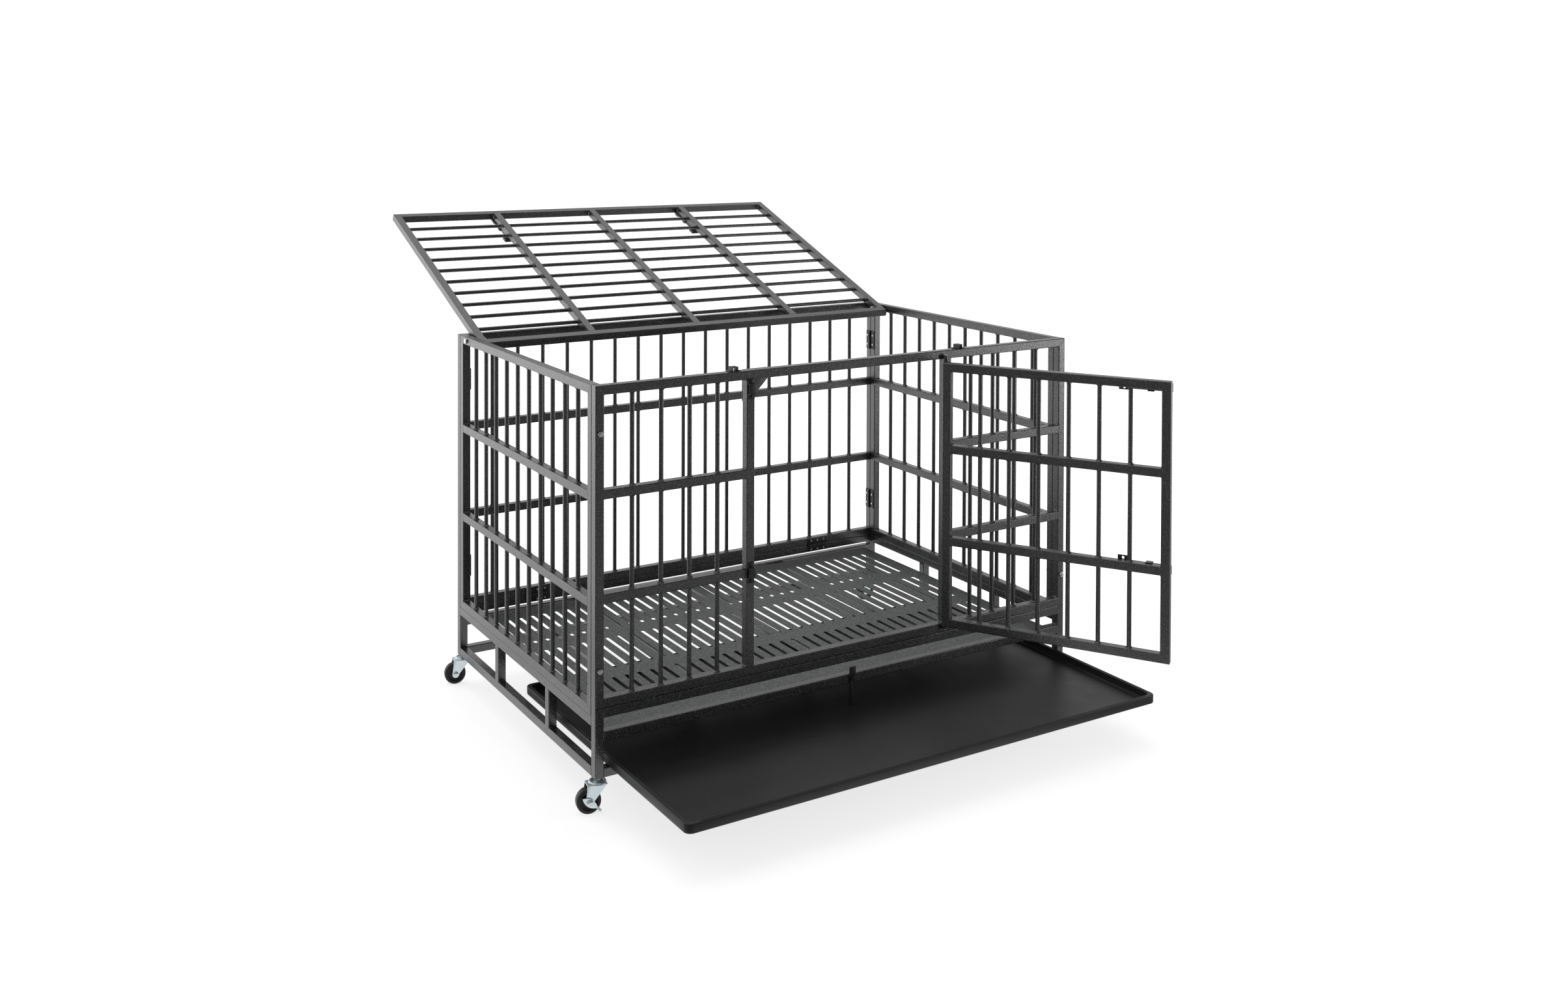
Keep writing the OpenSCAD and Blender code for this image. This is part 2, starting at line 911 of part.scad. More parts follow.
module lid_bolt(side) {
  color("black")
    open_lid()
      at_lid_bolt(side)
        translate([0, 0, lid_bolt_base + run_gap])
          slide_bolt(lid_bolt_len, lid_bolt_slot, lid_bolt_t, 1, tube / 2);
}

module lid_bolt_left() {
  lid_bolt(-1);
}

module lid_bolt_right() {
  lid_bolt(1);
}

// Door, drawn closed and swung open

module door_frame() {
  color("dimgray")
    open_door()
      translate([door_left_x, door_face_y, door_z]) {
        mitred_frame(door_w, door_h);
        for (i = [1:mid_rails])
          translate([tube, 0, door_mid_z(i) - door_z])
            drilled_rail(door_w - 2 * tube, door_rod_count);
      }
}

module door_rods() {
  color("dimgray")
    open_door()
      translate([door_left_x + tube, door_face_y, door_z])
        rod_row(door_w - 2 * tube, door_h, door_rod_count);
}

// Guides of the door's bolts: a strap on the stile, and one on the rail inside it
module door_bolt_guides() {
  half = bolt_slot / 2;
  front = bolt_space + strap_t;
  color("black")
    open_door() {
      for (z = door_bolt_z)
        translate([door_left_x + tube / 2, door_face_y, z])
          rotate([90, 0, 0])
            omega_strap(guide_len, bolt_space, guide_foot, bolt_slot);
      translate([door_left_x + 2 * tube + guide_len, door_face_y, door_bolt_z[0]])
        rotate([90, 0, -90])
          linear_extrude(guide_len)
            upper_guide_outline(half, front);
      translate([door_left_x + 2 * tube + guide_len, door_face_y, door_bolt_z[1]])
        rotate([90, 0, -90])
          linear_extrude(guide_len)
            lower_guide_outline(half, front);
    }
}

// Outlines in (distance out of the door's face, height)
module upper_guide_outline(half, front) {
  polygon([[0, half], [bolt_space, half], [bolt_space, -half], [0, -half], [0, -half - strap_t],
    [front, -half - strap_t], [front, half + strap_t], [strap_t, half + strap_t],
    [strap_t, half + guide_foot], [0, half + guide_foot]]);
}

module lower_guide_outline(half, front) {
  grip = tube / 2;
  polygon([[-grip, half], [bolt_space, half], [bolt_space, -half], [-grip, -half],
    [-grip, -half - strap_t], [front, -half - strap_t], [front, half + strap_t], [-grip, half + strap_t]]);
}

module door_bolt(i, ear_side, tube_edge) {
  color("black")
    open_door()
      translate([door_left_x, door_face_y - run_gap, door_bolt_z[i]])
        rotate([90, 0, 0])
          slide_bolt(door_bolt_len, bolt_slot, bolt_t, ear_side, tube_edge);
}

module door_bolt_upper() {
  door_bolt(0, -1, tube - upper_bolt_down);
}

module door_bolt_lower() {
  door_bolt(1, 1, tube / 2);
}

// Tray

module tray() {
  groove_end = 2 * tray_round;
  color([0.06, 0.06, 0.06])
    translate([0, tray_front_y + tray_d / 2, tray_z])
      difference() {
        linear_extrude(tray_h)
          round_square(tray_w, tray_d, tray_round);
        translate([0, 0, tray_bottom])
          linear_extrude(tray_h)
            round_square(tray_w - 2 * tray_rim, tray_d - 2 * tray_rim, tray_round);
        for (side = [-1, 1]) {
          translate([-tray_w / 2 + groove_end, side * (tray_d - tray_rim) / 2 - tray_groove_w / 2,
              tray_h - tray_groove_deep])
            cube([tray_w - 2 * groove_end, tray_groove_w, tray_h]);
          translate([side * (tray_w - tray_rim) / 2 - tray_groove_w / 2, -tray_d / 2 + groove_end,
              tray_h - tray_groove_deep])
            cube([tray_groove_w, tray_d - 2 * groove_end, tray_h]);
        }
      }
}

module tray_stop() {
  color("black")
    translate([0, front_y - run_gap, stop_pivot_z])
      rotate([90, 0, 0])
        difference() {
          translate([-stop_w / 2, stop_low_z - stop_pivot_z, 0])
            cube([stop_w, stop_up + stop_pivot_z - stop_low_z, stop_t]);
          translate([0, 0, -past])
            cylinder(d = screw_d + 2 * pin_fit, h = stop_t + 2 * past);
        }
}

module tray_stop_rivet() {
  color("silver")
    translate([0, front_y, stop_pivot_z])
      rotate([90, 0, 0]) {
        translate([0, 0, -stop_rivet_deep])
          cylinder(d = screw_d, h = stop_rivet_deep + 2 * run_gap + stop_t);
        translate([0, 0, 2 * run_gap + stop_t])
          cylinder(d = stop_rivet_head_d, h = stop_rivet_head_h);
      }
}

// Casters

module caster_plugs() {
  side = tube - 2 * tube_wall;
  color("black")
    at_casters()
      translate([0, 0, caster_h])
        difference() {
          translate([-side / 2, -side / 2, 0])
            cube([side, side, plug_h]);
          translate([0, 0, -past])
            cylinder(d = stem_d + 2 * bolt_fit, h = plug_h + 2 * past);
        }
}

module caster_stems() {
  head_top = fork_top - fork_sheet - run_gap;
  color("silver")
    at_casters() {
      translate([0, 0, head_top - stem_head_h])
        cylinder(d = stem_head_d, h = stem_head_h);
      translate([0, 0, head_top])
        cylinder(d = stem_d, h = caster_h + plug_h - head_top);
    }
}

// Dished ring over the swivel, with a boss in its middle that carries the post
module caster_cups() {
  bore = stem_d / 2 + bolt_fit;
  color("lightsteelblue")
    at_casters()
      translate([0, 0, caster_h - cup_h])
        rotate_extrude()
          polygon([[bore, 0], [cup_d / 2, 0], [cup_d / 2, cup_sheet], [cup_rim_d / 2, cup_rim_h],
            [cup_well_d / 2, cup_rim_h], [cup_floor_d / 2, cup_sheet], [cup_boss_d / 2, cup_sheet],
            [cup_boss_d / 2, cup_h], [bore, cup_h]]);
}

// Parts of one caster, with the wheel trailing along X from the stem
module fork() {
  color("lightsteelblue")
    rotate([0, 0, caster_turn])
      difference() {
        union() {
          translate([-fork_back, -fork_outer / 2, fork_top - fork_sheet])
            cube([fork_back + fork_front, fork_outer, fork_sheet]);
          translate([0, 0, fork_top - fork_sheet])
            cylinder(d = fork_disc_d, h = fork_sheet);
          for (side = [-1, 1])
            translate([0, side * (fork_outer - fork_sheet) / 2 + fork_sheet / 2, 0])
              rotate([90, 0, 0])
                linear_extrude(fork_sheet)
                  fork_leg();
        }
        translate([0, 0, fork_top - fork_sheet - past])
          cylinder(d = stem_d + 2 * pin_fit, h = fork_sheet + 2 * past);
        translate([caster_trail, fork_outer, axle_z])
          rotate([90, 0, 0])
            cylinder(d = axle_d + 2 * bolt_fit, h = 2 * fork_outer);
      }
}

module fork_leg() {
  polygon([[-fork_back, fork_top], [fork_front, fork_top], [caster_trail + fork_eye_r, axle_z],
    [caster_trail - fork_eye_r, axle_z]]);
  translate([caster_trail, axle_z])
    circle(r = fork_eye_r);
}

module wheel() {
  half = wheel_w / 2;
  tread = wheel_d / 2;
  color([0.05, 0.05, 0.05])
    rotate([0, 0, caster_turn])
      translate([caster_trail, 0, axle_z])
        rotate([90, 0, 0])
          rotate_extrude()
            polygon([[axle_d / 2 + pin_fit, -half], [wheel_hub_d / 2, -half],
              [wheel_hub_d / 2 + wheel_dish_slope, -half + wheel_dish],
              [tread - wheel_rim_t, -half + wheel_dish],
              [tread - wheel_rim_t + wheel_dish_slope, -half], [tread - wheel_chamfer, -half],
              [tread, -half + wheel_chamfer], [tread, half - wheel_chamfer], [tread - wheel_chamfer, half],
              [tread - wheel_rim_t + wheel_dish_slope, half], [tread - wheel_rim_t, half - wheel_dish],
              [wheel_hub_d / 2 + wheel_dish_slope, half - wheel_dish], [wheel_hub_d / 2, half],
              [axle_d / 2 + pin_fit, half]]);
}

// Axle along Y with a head at each end; room is left on its +Y side for a brake lever
module axle(room) {
  color("silver")
    rotate([0, 0, caster_turn])
      translate([caster_trail, 0, axle_z])
        rotate([-90, 0, 0]) {
          translate([0, 0, -fork_outer / 2])
            cylinder(d = axle_d, h = fork_outer + room);
          for (z = [-fork_outer / 2 - axle_head_h, fork_outer / 2 + room])
            translate([0, 0, z])
              cylinder(d = axle_head_d, h = axle_head_h);
        }
}

// Lens-shaped lever on the axle with a pedal that slants out from its lower end
module brake_lever() {
  shift = lever_r - lever_half;
  tip = sqrt(lever_r * lever_r - shift * shift);
  color("lightsteelblue")
    rotate([0, 0, caster_turn])
      translate([caster_trail, fork_outer / 2 + run_gap, axle_z])
        rotate([-90, 0, 0])
          rotate([0, 0, 180 - lever_tilt])
            difference() {
              union() {
                linear_extrude(lever_t)
                  intersection() {
                    translate([0, shift])
                      circle(r = lever_r);
                    translate([0, -shift])
                      circle(r = lever_r);
                  }
                translate([tip - pedal_in, pedal_w / 2, 0])
                  rotate([90, 0, 0])
                    linear_extrude(pedal_w)
                      polygon([[0, 0], [pedal_t, 0], [pedal_t + pedal_slant, pedal_out],
                        [pedal_slant, pedal_out]]);
              }
              translate([0, 0, -past])
                cylinder(d = axle_d + 2 * pin_fit, h = lever_t + 2 * past);
            }
}

module fork_front_left() {
  at_caster(-1, -1)
    fork();
}

module fork_front_right() {
  at_caster(1, -1)
    fork();
}

module fork_back_left() {
  at_caster(-1, 1)
    fork();
}

module fork_back_right() {
  at_caster(1, 1)
    fork();
}

module wheel_front_left() {
  at_caster(-1, -1)
    wheel();
}

module wheel_front_right() {
  at_caster(1, -1)
    wheel();
}

module wheel_back_left() {
  at_caster(-1, 1)
    wheel();
}

module wheel_back_right() {
  at_caster(1, 1)
    wheel();
}

module axle_front_left() {
  at_caster(-1, -1)
    axle(lever_room);
}

module axle_front_right() {
  at_caster(1, -1)
    axle(lever_room);
}

module axle_back_left() {
  at_caster(-1, 1)
    axle(0);
}

module axle_back_right() {
  at_caster(1, 1)
    axle(0);
}

module brake_front_left() {
  at_caster(-1, -1)
    brake_lever();
}

module brake_front_right() {
  at_caster(1, -1)
    brake_lever();
}

base_posts();
base_bottom_rails();
base_top_rails();
floor_bars();
side_struts();
floor_supports();
tray_runners();
floor_panel();
front_panel_frame();
front_panel_rods();
left_panel_frame();
left_panel_rods();
right_panel_frame();
right_panel_rods();
back_panel_frame();
back_panel_rods();
door_stop_plate();
door_keepers();
lid_keepers();
corner_bolts();
corner_nuts();
panel_hinge_leaves();
panel_hinge_pins();
panel_hinge_rivets();
frame_hinge_knuckles();
door_hinge_pins();
lid_pivot_bolts();
lid_pivot_nuts();
tray_stop_rivet();
caster_plugs();
caster_stems();
caster_cups();
lid_frame();
lid_rods();
lid_bolt_guides();
lid_bolt_left();
lid_bolt_right();
door_frame();
door_rods();
door_hinge_knuckles();
door_bolt_guides();
door_bolt_upper();
door_bolt_lower();
tray();
tray_stop();
fork_front_left();
fork_front_right();
fork_back_left();
fork_back_right();
wheel_front_left();
wheel_front_right();
wheel_back_left();
wheel_back_right();
axle_front_left();
axle_front_right();
axle_back_left();
axle_back_right();
brake_front_left();
brake_front_right();
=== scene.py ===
"""Finishes, weld beads, moulded and turned details and a studio for a welded dog crate on casters."""

import json
import math

import bmesh
import bpy
from bpy.props import FloatProperty, FloatVectorProperty, IntProperty, PointerProperty
from mathutils import Matrix, Vector

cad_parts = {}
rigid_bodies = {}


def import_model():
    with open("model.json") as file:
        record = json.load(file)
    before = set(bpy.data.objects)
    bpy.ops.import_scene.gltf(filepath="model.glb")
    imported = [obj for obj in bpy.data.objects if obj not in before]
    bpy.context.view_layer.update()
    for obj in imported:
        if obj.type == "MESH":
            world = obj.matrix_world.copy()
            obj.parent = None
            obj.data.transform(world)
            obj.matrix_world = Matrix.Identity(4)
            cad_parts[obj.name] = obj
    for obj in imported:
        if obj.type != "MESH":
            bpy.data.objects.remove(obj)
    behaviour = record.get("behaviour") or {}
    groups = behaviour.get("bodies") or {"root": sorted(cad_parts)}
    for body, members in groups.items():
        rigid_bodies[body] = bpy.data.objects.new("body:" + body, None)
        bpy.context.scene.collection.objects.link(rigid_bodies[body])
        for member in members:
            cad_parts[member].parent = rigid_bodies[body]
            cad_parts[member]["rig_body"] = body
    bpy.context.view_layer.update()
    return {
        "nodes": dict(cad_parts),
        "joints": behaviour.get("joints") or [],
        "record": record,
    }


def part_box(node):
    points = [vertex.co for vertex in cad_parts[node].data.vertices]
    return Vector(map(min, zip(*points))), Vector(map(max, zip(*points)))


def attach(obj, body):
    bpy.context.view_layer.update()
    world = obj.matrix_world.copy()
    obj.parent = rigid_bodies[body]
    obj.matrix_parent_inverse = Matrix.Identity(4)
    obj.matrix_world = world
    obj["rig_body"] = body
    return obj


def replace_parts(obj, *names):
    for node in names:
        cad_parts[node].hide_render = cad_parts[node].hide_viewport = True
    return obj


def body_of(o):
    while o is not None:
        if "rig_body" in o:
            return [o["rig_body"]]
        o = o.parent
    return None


bl_info = {
    "name": "Wheeled dog crate",
    "version": (1, 0, 0),
    "blender": (4, 5, 0),
    "location": "View3D > Sidebar > Crate",
    "description": "Finishes, weld beads, tray, casters, fittings and studio of a welded dog crate",
    "category": "Object",
}

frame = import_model()
SLOT_OF = {sub["node"]: sub["material_slot"] for sub in frame["record"]["subparts"]}
JOINTS = {joint["name"]: joint for joint in frame["joints"]}

MM = 0.001
CASTERS = ("front_left", "front_right", "back_left", "back_right")
PANELS = ("front_panel", "left_panel", "right_panel", "back_panel", "lid", "door")
BASE_TUBES = (
    "base_posts",
    "base_bottom_rails",
    "base_top_rails",
    "floor_bars",
    "side_struts",
    "floor_supports",
    "tray_runners",
)
BARE_TOPS = ("base_bottom_rails", "floor_supports", "tray_runners")
BLACK_FITTINGS = (
    "door_keepers",
    "lid_keepers",
    "lid_bolt_guides",
    "lid_bolt_left",
    "lid_bolt_right",
    "door_bolt_guides",
    "door_bolt_upper",
    "door_bolt_lower",
    "tray_stop",
    "tray_stop_rivet",
    "panel_hinge_leaves",
)
BRIGHT_FITTINGS = (
    "corner_bolts",
    "corner_nuts",
    "panel_hinge_pins",
    "panel_hinge_rivets",
    "door_hinge_pins",
    "lid_pivot_bolts",
    "lid_pivot_nuts",
)
PAINTED_FITTINGS = ("door_stop_plate", "frame_hinge_knuckles", "door_hinge_knuckles")

# Rounding of the edges of painted and of plated fittings
PAINTED_ROUND = 0.5 * MM
PLATED_ROUND = 0.45 * MM
# Rounding of the tubes' long edges, where no bead is laid
TUBE_ROUND = 2 * MM
# Depth to which a bead is sunk into the steel, so that no gap shows under it
BEAD_SUNK = 0.25 * MM
# Place and width of each soft box in metres, and the point that all of them face
LAMPS = {
    "left_lamp": ((-2.0, 2.6, 0.9), 1.8),
    "top_lamp": ((0.2, 0.9, 4.2), 3.6),
    "right_lamp": ((2.9, -2.3, 0.8), 1.4),
    "front_lamp": ((-0.6, -3.2, 3.2), 2.2),
}
LAMP_TARGET = (0, -0.05, 0.35)
WHITE = (1, 1, 1, 1)


# Settings


class CratePaint(bpy.types.PropertyGroup):
    """Colours and texture of the painted steel."""

    frame_colour: FloatVectorProperty(
        name="Frame paint", description="Dark grey of the tubes and bars", subtype="COLOR",
        size=3, min=0, max=1, default=(0.030, 0.031, 0.031),
    )
    floor_colour: FloatVectorProperty(
        name="Floor paint", description="Grey of the slotted floor sheet", subtype="COLOR",
        size=3, min=0, max=1, default=(0.12, 0.125, 0.125),
    )
    fitting_colour: FloatVectorProperty(
        name="Black paint", description="Black of the bolts, straps and hinges", subtype="COLOR",
        size=3, min=0, max=1, default=(0.022, 0.022, 0.022),
    )
    hammer_size: FloatProperty(
        name="Hammer size", description="Distance between the dimples of the hammered paint",
        unit="LENGTH", min=0.0005, max=0.02, default=0.0028,
    )
    hammer_depth: FloatProperty(
        name="Hammer depth", description="Depth of the dimples of the hammered paint",
        unit="LENGTH", min=0, max=0.002, default=0.00013,
    )


class CrateWelds(bpy.types.PropertyGroup):
    """Sizes of the weld beads."""

    collar: FloatProperty(
        name="Rod collar", description="Width of the bead round a rod where it meets a rail",
        unit="LENGTH", min=0, max=0.01, default=0.0027,
    )
    corner: FloatProperty(
        name="Corner bead", description="Width of the bead in an inside corner",
        unit="LENGTH", min=0, max=0.01, default=0.0024,
    )
    seam_width: FloatProperty(
        name="Seam width", description="Half width of a ground seam on a flush face",
        unit="LENGTH", min=0, max=0.01, default=0.0019,
    )
    seam_height: FloatProperty(
        name="Seam height", description="Height of a ground seam on a flush face",
        unit="LENGTH", min=0, max=0.005, default=0.0002,
    )
    around: IntProperty(
        name="Steps round a rod", description="Steps of a bead round a rod", min=6, max=48, default=16
    )


class CrateTray(bpy.types.PropertyGroup):
    """Sizes and colour of the moulded tray."""

    colour: FloatVectorProperty(
        name="Tray plastic", description="Black of the moulded tray", subtype="COLOR",
        size=3, min=0, max=1, default=(0.024, 0.024, 0.024),
    )
    corner: FloatProperty(
        name="Corner radius", description="Radius of the tray's corners", unit="LENGTH",
        min=0.002, max=0.05, default=0.014,
    )
    rim: FloatProperty(
        name="Rim width", description="Width of the tray's rim", unit="LENGTH",
        min=0.004, max=0.03, default=0.009,
    )
    edge: FloatProperty(
        name="Edge radius", description="Rounding of the rim's edges", unit="LENGTH",
        min=0.0002, max=0.004, default=0.0018,
    )
    groove_width: FloatProperty(
        name="Groove width", description="Width of the groove along the rim", unit="LENGTH",
        min=0.0005, max=0.005, default=0.0022,
    )
    groove_depth: FloatProperty(
        name="Groove depth", description="Depth of the groove along the rim", unit="LENGTH",
        min=0.0002, max=0.005, default=0.0014,
    )
    bottom: FloatProperty(
        name="Bottom", description="Thickness of the tray's bottom", unit="LENGTH",
        min=0.0005, max=0.005, default=0.0015,
    )


class CrateCasters(bpy.types.PropertyGroup):
    """Colours and sizes of the casters and of the bright fittings."""

    rubber_colour: FloatVectorProperty(
        name="Wheel rubber", description="Black of the wheels", subtype="COLOR",
        size=3, min=0, max=1, default=(0.009, 0.009, 0.009),
    )
    zinc_colour: FloatVectorProperty(
        name="Zinc plate", description="Bluish silver of the forks and levers", subtype="COLOR",
        size=3, min=0, max=1, default=(0.60, 0.68, 0.71),
    )
    steel_colour: FloatVectorProperty(
        name="Bright steel", description="Silver of the screws, nuts and pins", subtype="COLOR",
        size=3, min=0, max=1, default=(0.66, 0.67, 0.68),
    )
    plug_colour: FloatVectorProperty(
        name="Plug plastic", description="Black of the plugs in the posts' ends", subtype="COLOR",
        size=3, min=0, max=1, default=(0.02, 0.02, 0.02),
    )
    turned_steps: IntProperty(
        name="Turned steps", description="Steps round a turned piece", min=16, max=128, default=56
    )
    fork_round: FloatProperty(
        name="Fork rounding", description="Rounding of the bent fork's edges", unit="LENGTH",
        min=0, max=0.003, default=0.0011,
    )


class CrateStage(bpy.types.PropertyGroup):
    """Camera, lamps, room and floor."""

    camera_place: FloatVectorProperty(
        name="Camera place", description="Where the camera stands", subtype="TRANSLATION",
        unit="LENGTH", size=3, default=(-1.823, -2.934, 1.366),
    )
    camera_turn: FloatVectorProperty(
        name="Camera turn", description="Tilt, roll and turn of the camera", subtype="EULER",
        size=3, default=(math.radians(90 - 0.96), math.radians(-0.16), math.radians(-30.44)),
    )
    lens: FloatProperty(
        name="Lens", description="Focal length on a 36 mm sensor", min=10, max=200, default=33.53
    )
    shift_x: FloatProperty(name="Shift X", description="Sideways lens shift", default=0.0382)
    shift_y: FloatProperty(name="Shift Y", description="Upward lens shift", default=-0.2313)
    left_lamp: FloatProperty(
        name="Left lamp", description="Power of the soft box behind on the left", unit="POWER",
        min=0, default=10,
    )
    top_lamp: FloatProperty(
        name="Top lamp", description="Power of the soft box above", unit="POWER", min=0, default=22
    )
    right_lamp: FloatProperty(
        name="Right lamp", description="Power of the soft box at the front right", unit="POWER",
        min=0, default=28,
    )
    front_lamp: FloatProperty(
        name="Front lamp", description="Power of the soft box high in front", unit="POWER",
        min=0, default=6,
    )
    room_bright: FloatProperty(
        name="Bright side", description="Light of the room behind and above the crate",
        min=0, max=1, default=0.9,
    )
    room_dim: FloatProperty(
        name="Dim side", description="Light of the room in front of the crate",
        min=0, max=1, default=0.03,
    )
    room_light: FloatProperty(
        name="Room light", description="Share of the room's light that falls on the crate and the floor",
        min=0, max=1, default=0.4,
    )
    floor_colour: FloatVectorProperty(
        name="Floor", description="Pale grey of the studio floor", subtype="COLOR",
        size=3, min=0, max=1, default=(0.86, 0.86, 0.86),
    )
    floor_lift: FloatProperty(
        name="Floor lift", description="Light that the floor near the crate adds where it is seen",
        min=0, max=1, default=0.75,
    )
    floor_near: FloatProperty(
        name="Shadow reach", description="Distance from the middle up to which the floor keeps its shadow",
        unit="LENGTH", min=0, default=1.1,
    )
    floor_far: FloatProperty(
        name="White from", description="Distance from the middle from which the floor is white",
        unit="LENGTH", min=0, default=2.0,
    )


# Mesh helpers


class Shape:
    """Vertices and faces of one piece, gathered from several skins."""

    def __init__(self):
        self.points = []
        self.faces = []

    def skin(self, rings, wrap=False):
        """Adds a skin over closed rings of equally many points, closed to a loop or capped at both ends."""
        start = len(self.points)
        count = len(rings[0])
        for ring in rings:
            self.points.extend(Vector(point) for point in ring)
        last = len(rings) if wrap else len(rings) - 1
        for i in range(last):
            low = start + i * count
            high = start + (i + 1) % len(rings) * count
            for j in range(count):
                k = (j + 1) % count
                self.faces.append((low + j, low + k, high + k, high + j))
        if not wrap:
            self.cap(list(range(start + count - 1, start - 1, -1)))
            end = start + (len(rings) - 1) * count
            self.cap(list(range(end, end + count)))

    def cap(self, ring):
        """Closes a ring with a fan of faces round its middle."""
        middle = sum((self.points[i] for i in ring), Vector()) / len(ring)
        self.points.append(middle)
        for i, j in zip(ring, ring[1:] + ring[:1]):
            self.faces.append((i, j, len(self.points) - 1))

    def piece(self, name, body, slot, sharp=35):
        """Makes the gathered skins into a smooth piece that rides on a body."""
        mesh = bpy.data.meshes.new(name)
        mesh.from_pydata(self.points, [], self.faces)
        return finish_piece(name, mesh, body, slot, sharp)


def finish_piece(name, mesh, body, slot, sharp):
    """Links a mesh as a piece with outward faces, smooth shading and its finish."""
    solid = bmesh.new()
    solid.from_mesh(mesh)
    bmesh.ops.recalc_face_normals(solid, faces=solid.faces)
    solid.to_mesh(mesh)
    solid.free()
    mesh.shade_smooth()
    mesh.set_sharp_from_angle(angle=math.radians(sharp))
    piece = bpy.data.objects.new(name, mesh)
    bpy.context.scene.collection.objects.link(piece)
    piece.data.materials.append(finish(slot))
    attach(piece, body)
    return piece


def turned_rings(profile, steps, place):
    """Rings of (radius, height) pairs turned round Z and put in place by a matrix."""
    rings = []
    for radius, height in profile:
        ring = []
        for i in range(steps):
            angle = 2 * math.pi * i / steps
            ring.append(place @ Vector((radius * math.cos(angle), radius * math.sin(angle), height)))
        rings.append(ring)
    return rings


def rounded(profile, radius, steps=3):
    """A closed outline with each of its corners rounded by up to the radius."""
    most_of_side = 0.45
    made = []
    count = len(profile)
    for i in range(count):
        corner = Vector(profile[i])
        before = Vector(profile[i - 1]) - corner
        after = Vector(profile[(i + 1) % count]) - corner
        reach = min(radius, before.length * most_of_side, after.length * most_of_side)
        first = corner + before.normalized() * reach
        last = corner + after.normalized() * reach
        for step in range(steps + 1):
            t = step / steps
            made.append(first * (1 - t) ** 2 + corner * 2 * t * (1 - t) + last * t**2)
    return made


def welded_copy(node):
    """Bmesh of a CAD node with its split vertices joined."""
    same_place = 0.004 * MM
    solid = bmesh.new()
    solid.from_mesh(frame["nodes"][node].data)
    bmesh.ops.remove_doubles(solid, verts=solid.verts, dist=same_place)
    return solid


def softened(node, width):
    """Replaces a CAD node by a copy with rounded edges, as pressed and plated steel has them."""
    flat = math.radians(0.5)
    least_edge = math.radians(32)
    sharp = 40
    solid = welded_copy(node)
    bmesh.ops.dissolve_limit(solid, angle_limit=flat, verts=solid.verts, edges=solid.edges)
    edges = []
    for edge in solid.edges:
        if len(edge.link_faces) == 2 and edge.calc_face_angle(0) > least_edge:
            edges.append(edge)
    bmesh.ops.bevel(
        solid, geom=edges, offset=width, offset_type="OFFSET", segments=3, profile=0.5,
        affect="EDGES", clamp_overlap=True,
    )
    name = node + "_soft"
    mesh = bpy.data.meshes.new(name)
    solid.to_mesh(mesh)
    solid.free()
    body = body_of(frame["nodes"][node])[0]
    piece = finish_piece(name, mesh, body, SLOT_OF[node], sharp)
    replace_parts(piece, node)


def axis_place(joint):
    """Matrix that puts Z along a joint's axis and the origin at its place."""
    turn = Vector((0, 0, 1)).rotation_difference(Vector(joint["axis"]))
    return Matrix.Translation(Vector(joint["pos_m"])) @ turn.to_matrix().to_4x4()


# Finishes


def shader_group(name, inputs):
    """New group that gives a colour, a roughness and a height; returns it with its input and output node."""
    group = bpy.data.node_groups.new(name, "ShaderNodeTree")
    for title, kind, value in inputs:
        socket = group.interface.new_socket(title, in_out="INPUT", socket_type=kind)
        socket.default_value = value
    group.interface.new_socket("Colour", in_out="OUTPUT", socket_type="NodeSocketColor")
    group.interface.new_socket("Roughness", in_out="OUTPUT", socket_type="NodeSocketFloat")
    group.interface.new_socket("Height", in_out="OUTPUT", socket_type="NodeSocketFloat")
    return group, group.nodes.new("NodeGroupInput"), group.nodes.new("NodeGroupOutput")


def add_node(tree, kind, **values):
    """Adds a node and sets its properties."""
    made = tree.nodes.new(kind)
    for key, value in values.items():
        setattr(made, key, value)
    return made


def feed(tree, socket, value):
    """Gives an input its value, which is another socket or a number."""
    if isinstance(value, (int, float)):
        socket.default_value = value
    else:
        tree.links.new(value, socket)


def add_math(tree, operation, first, second):
    """Adds a math node; each operand is a socket or a number."""
    made = add_node(tree, "ShaderNodeMath", operation=operation)
    feed(tree, made.inputs[0], first)
    feed(tree, made.inputs[1], second)
    return made.outputs[0]


def add_range(tree, value, low, high, out_low, out_high):
    """Adds a clamped map range node."""
    made = add_node(tree, "ShaderNodeMapRange")
    tree.links.new(value, made.inputs["Value"])
    made.inputs["From Min"].default_value = low
    made.inputs["From Max"].default_value = high
    made.inputs["To Min"].default_value = out_low
    made.inputs["To Max"].default_value = out_high
    return made.outputs["Result"]


def add_noise(tree, place, scale, detail):
    """Adds a noise texture in the piece's own coordinates; the scale is a socket or a number."""
    made = add_node(tree, "ShaderNodeTexNoise")
    made.inputs["Detail"].default_value = detail
    tree.links.new(place.outputs["Object"], made.inputs["Vector"])
    feed(tree, made.inputs["Scale"], scale)
    return made


def add_tint(tree, given, tone, out):
    """Gives out the given colour, made darker or paler by a tone."""
    tinted = add_node(tree, "ShaderNodeVectorMath", operation="SCALE")
    tree.links.new(given.outputs["Colour"], tinted.inputs[0])
    tree.links.new(tone, tinted.inputs["Scale"])
    tree.links.new(tinted.outputs[0], out.inputs["Colour"])


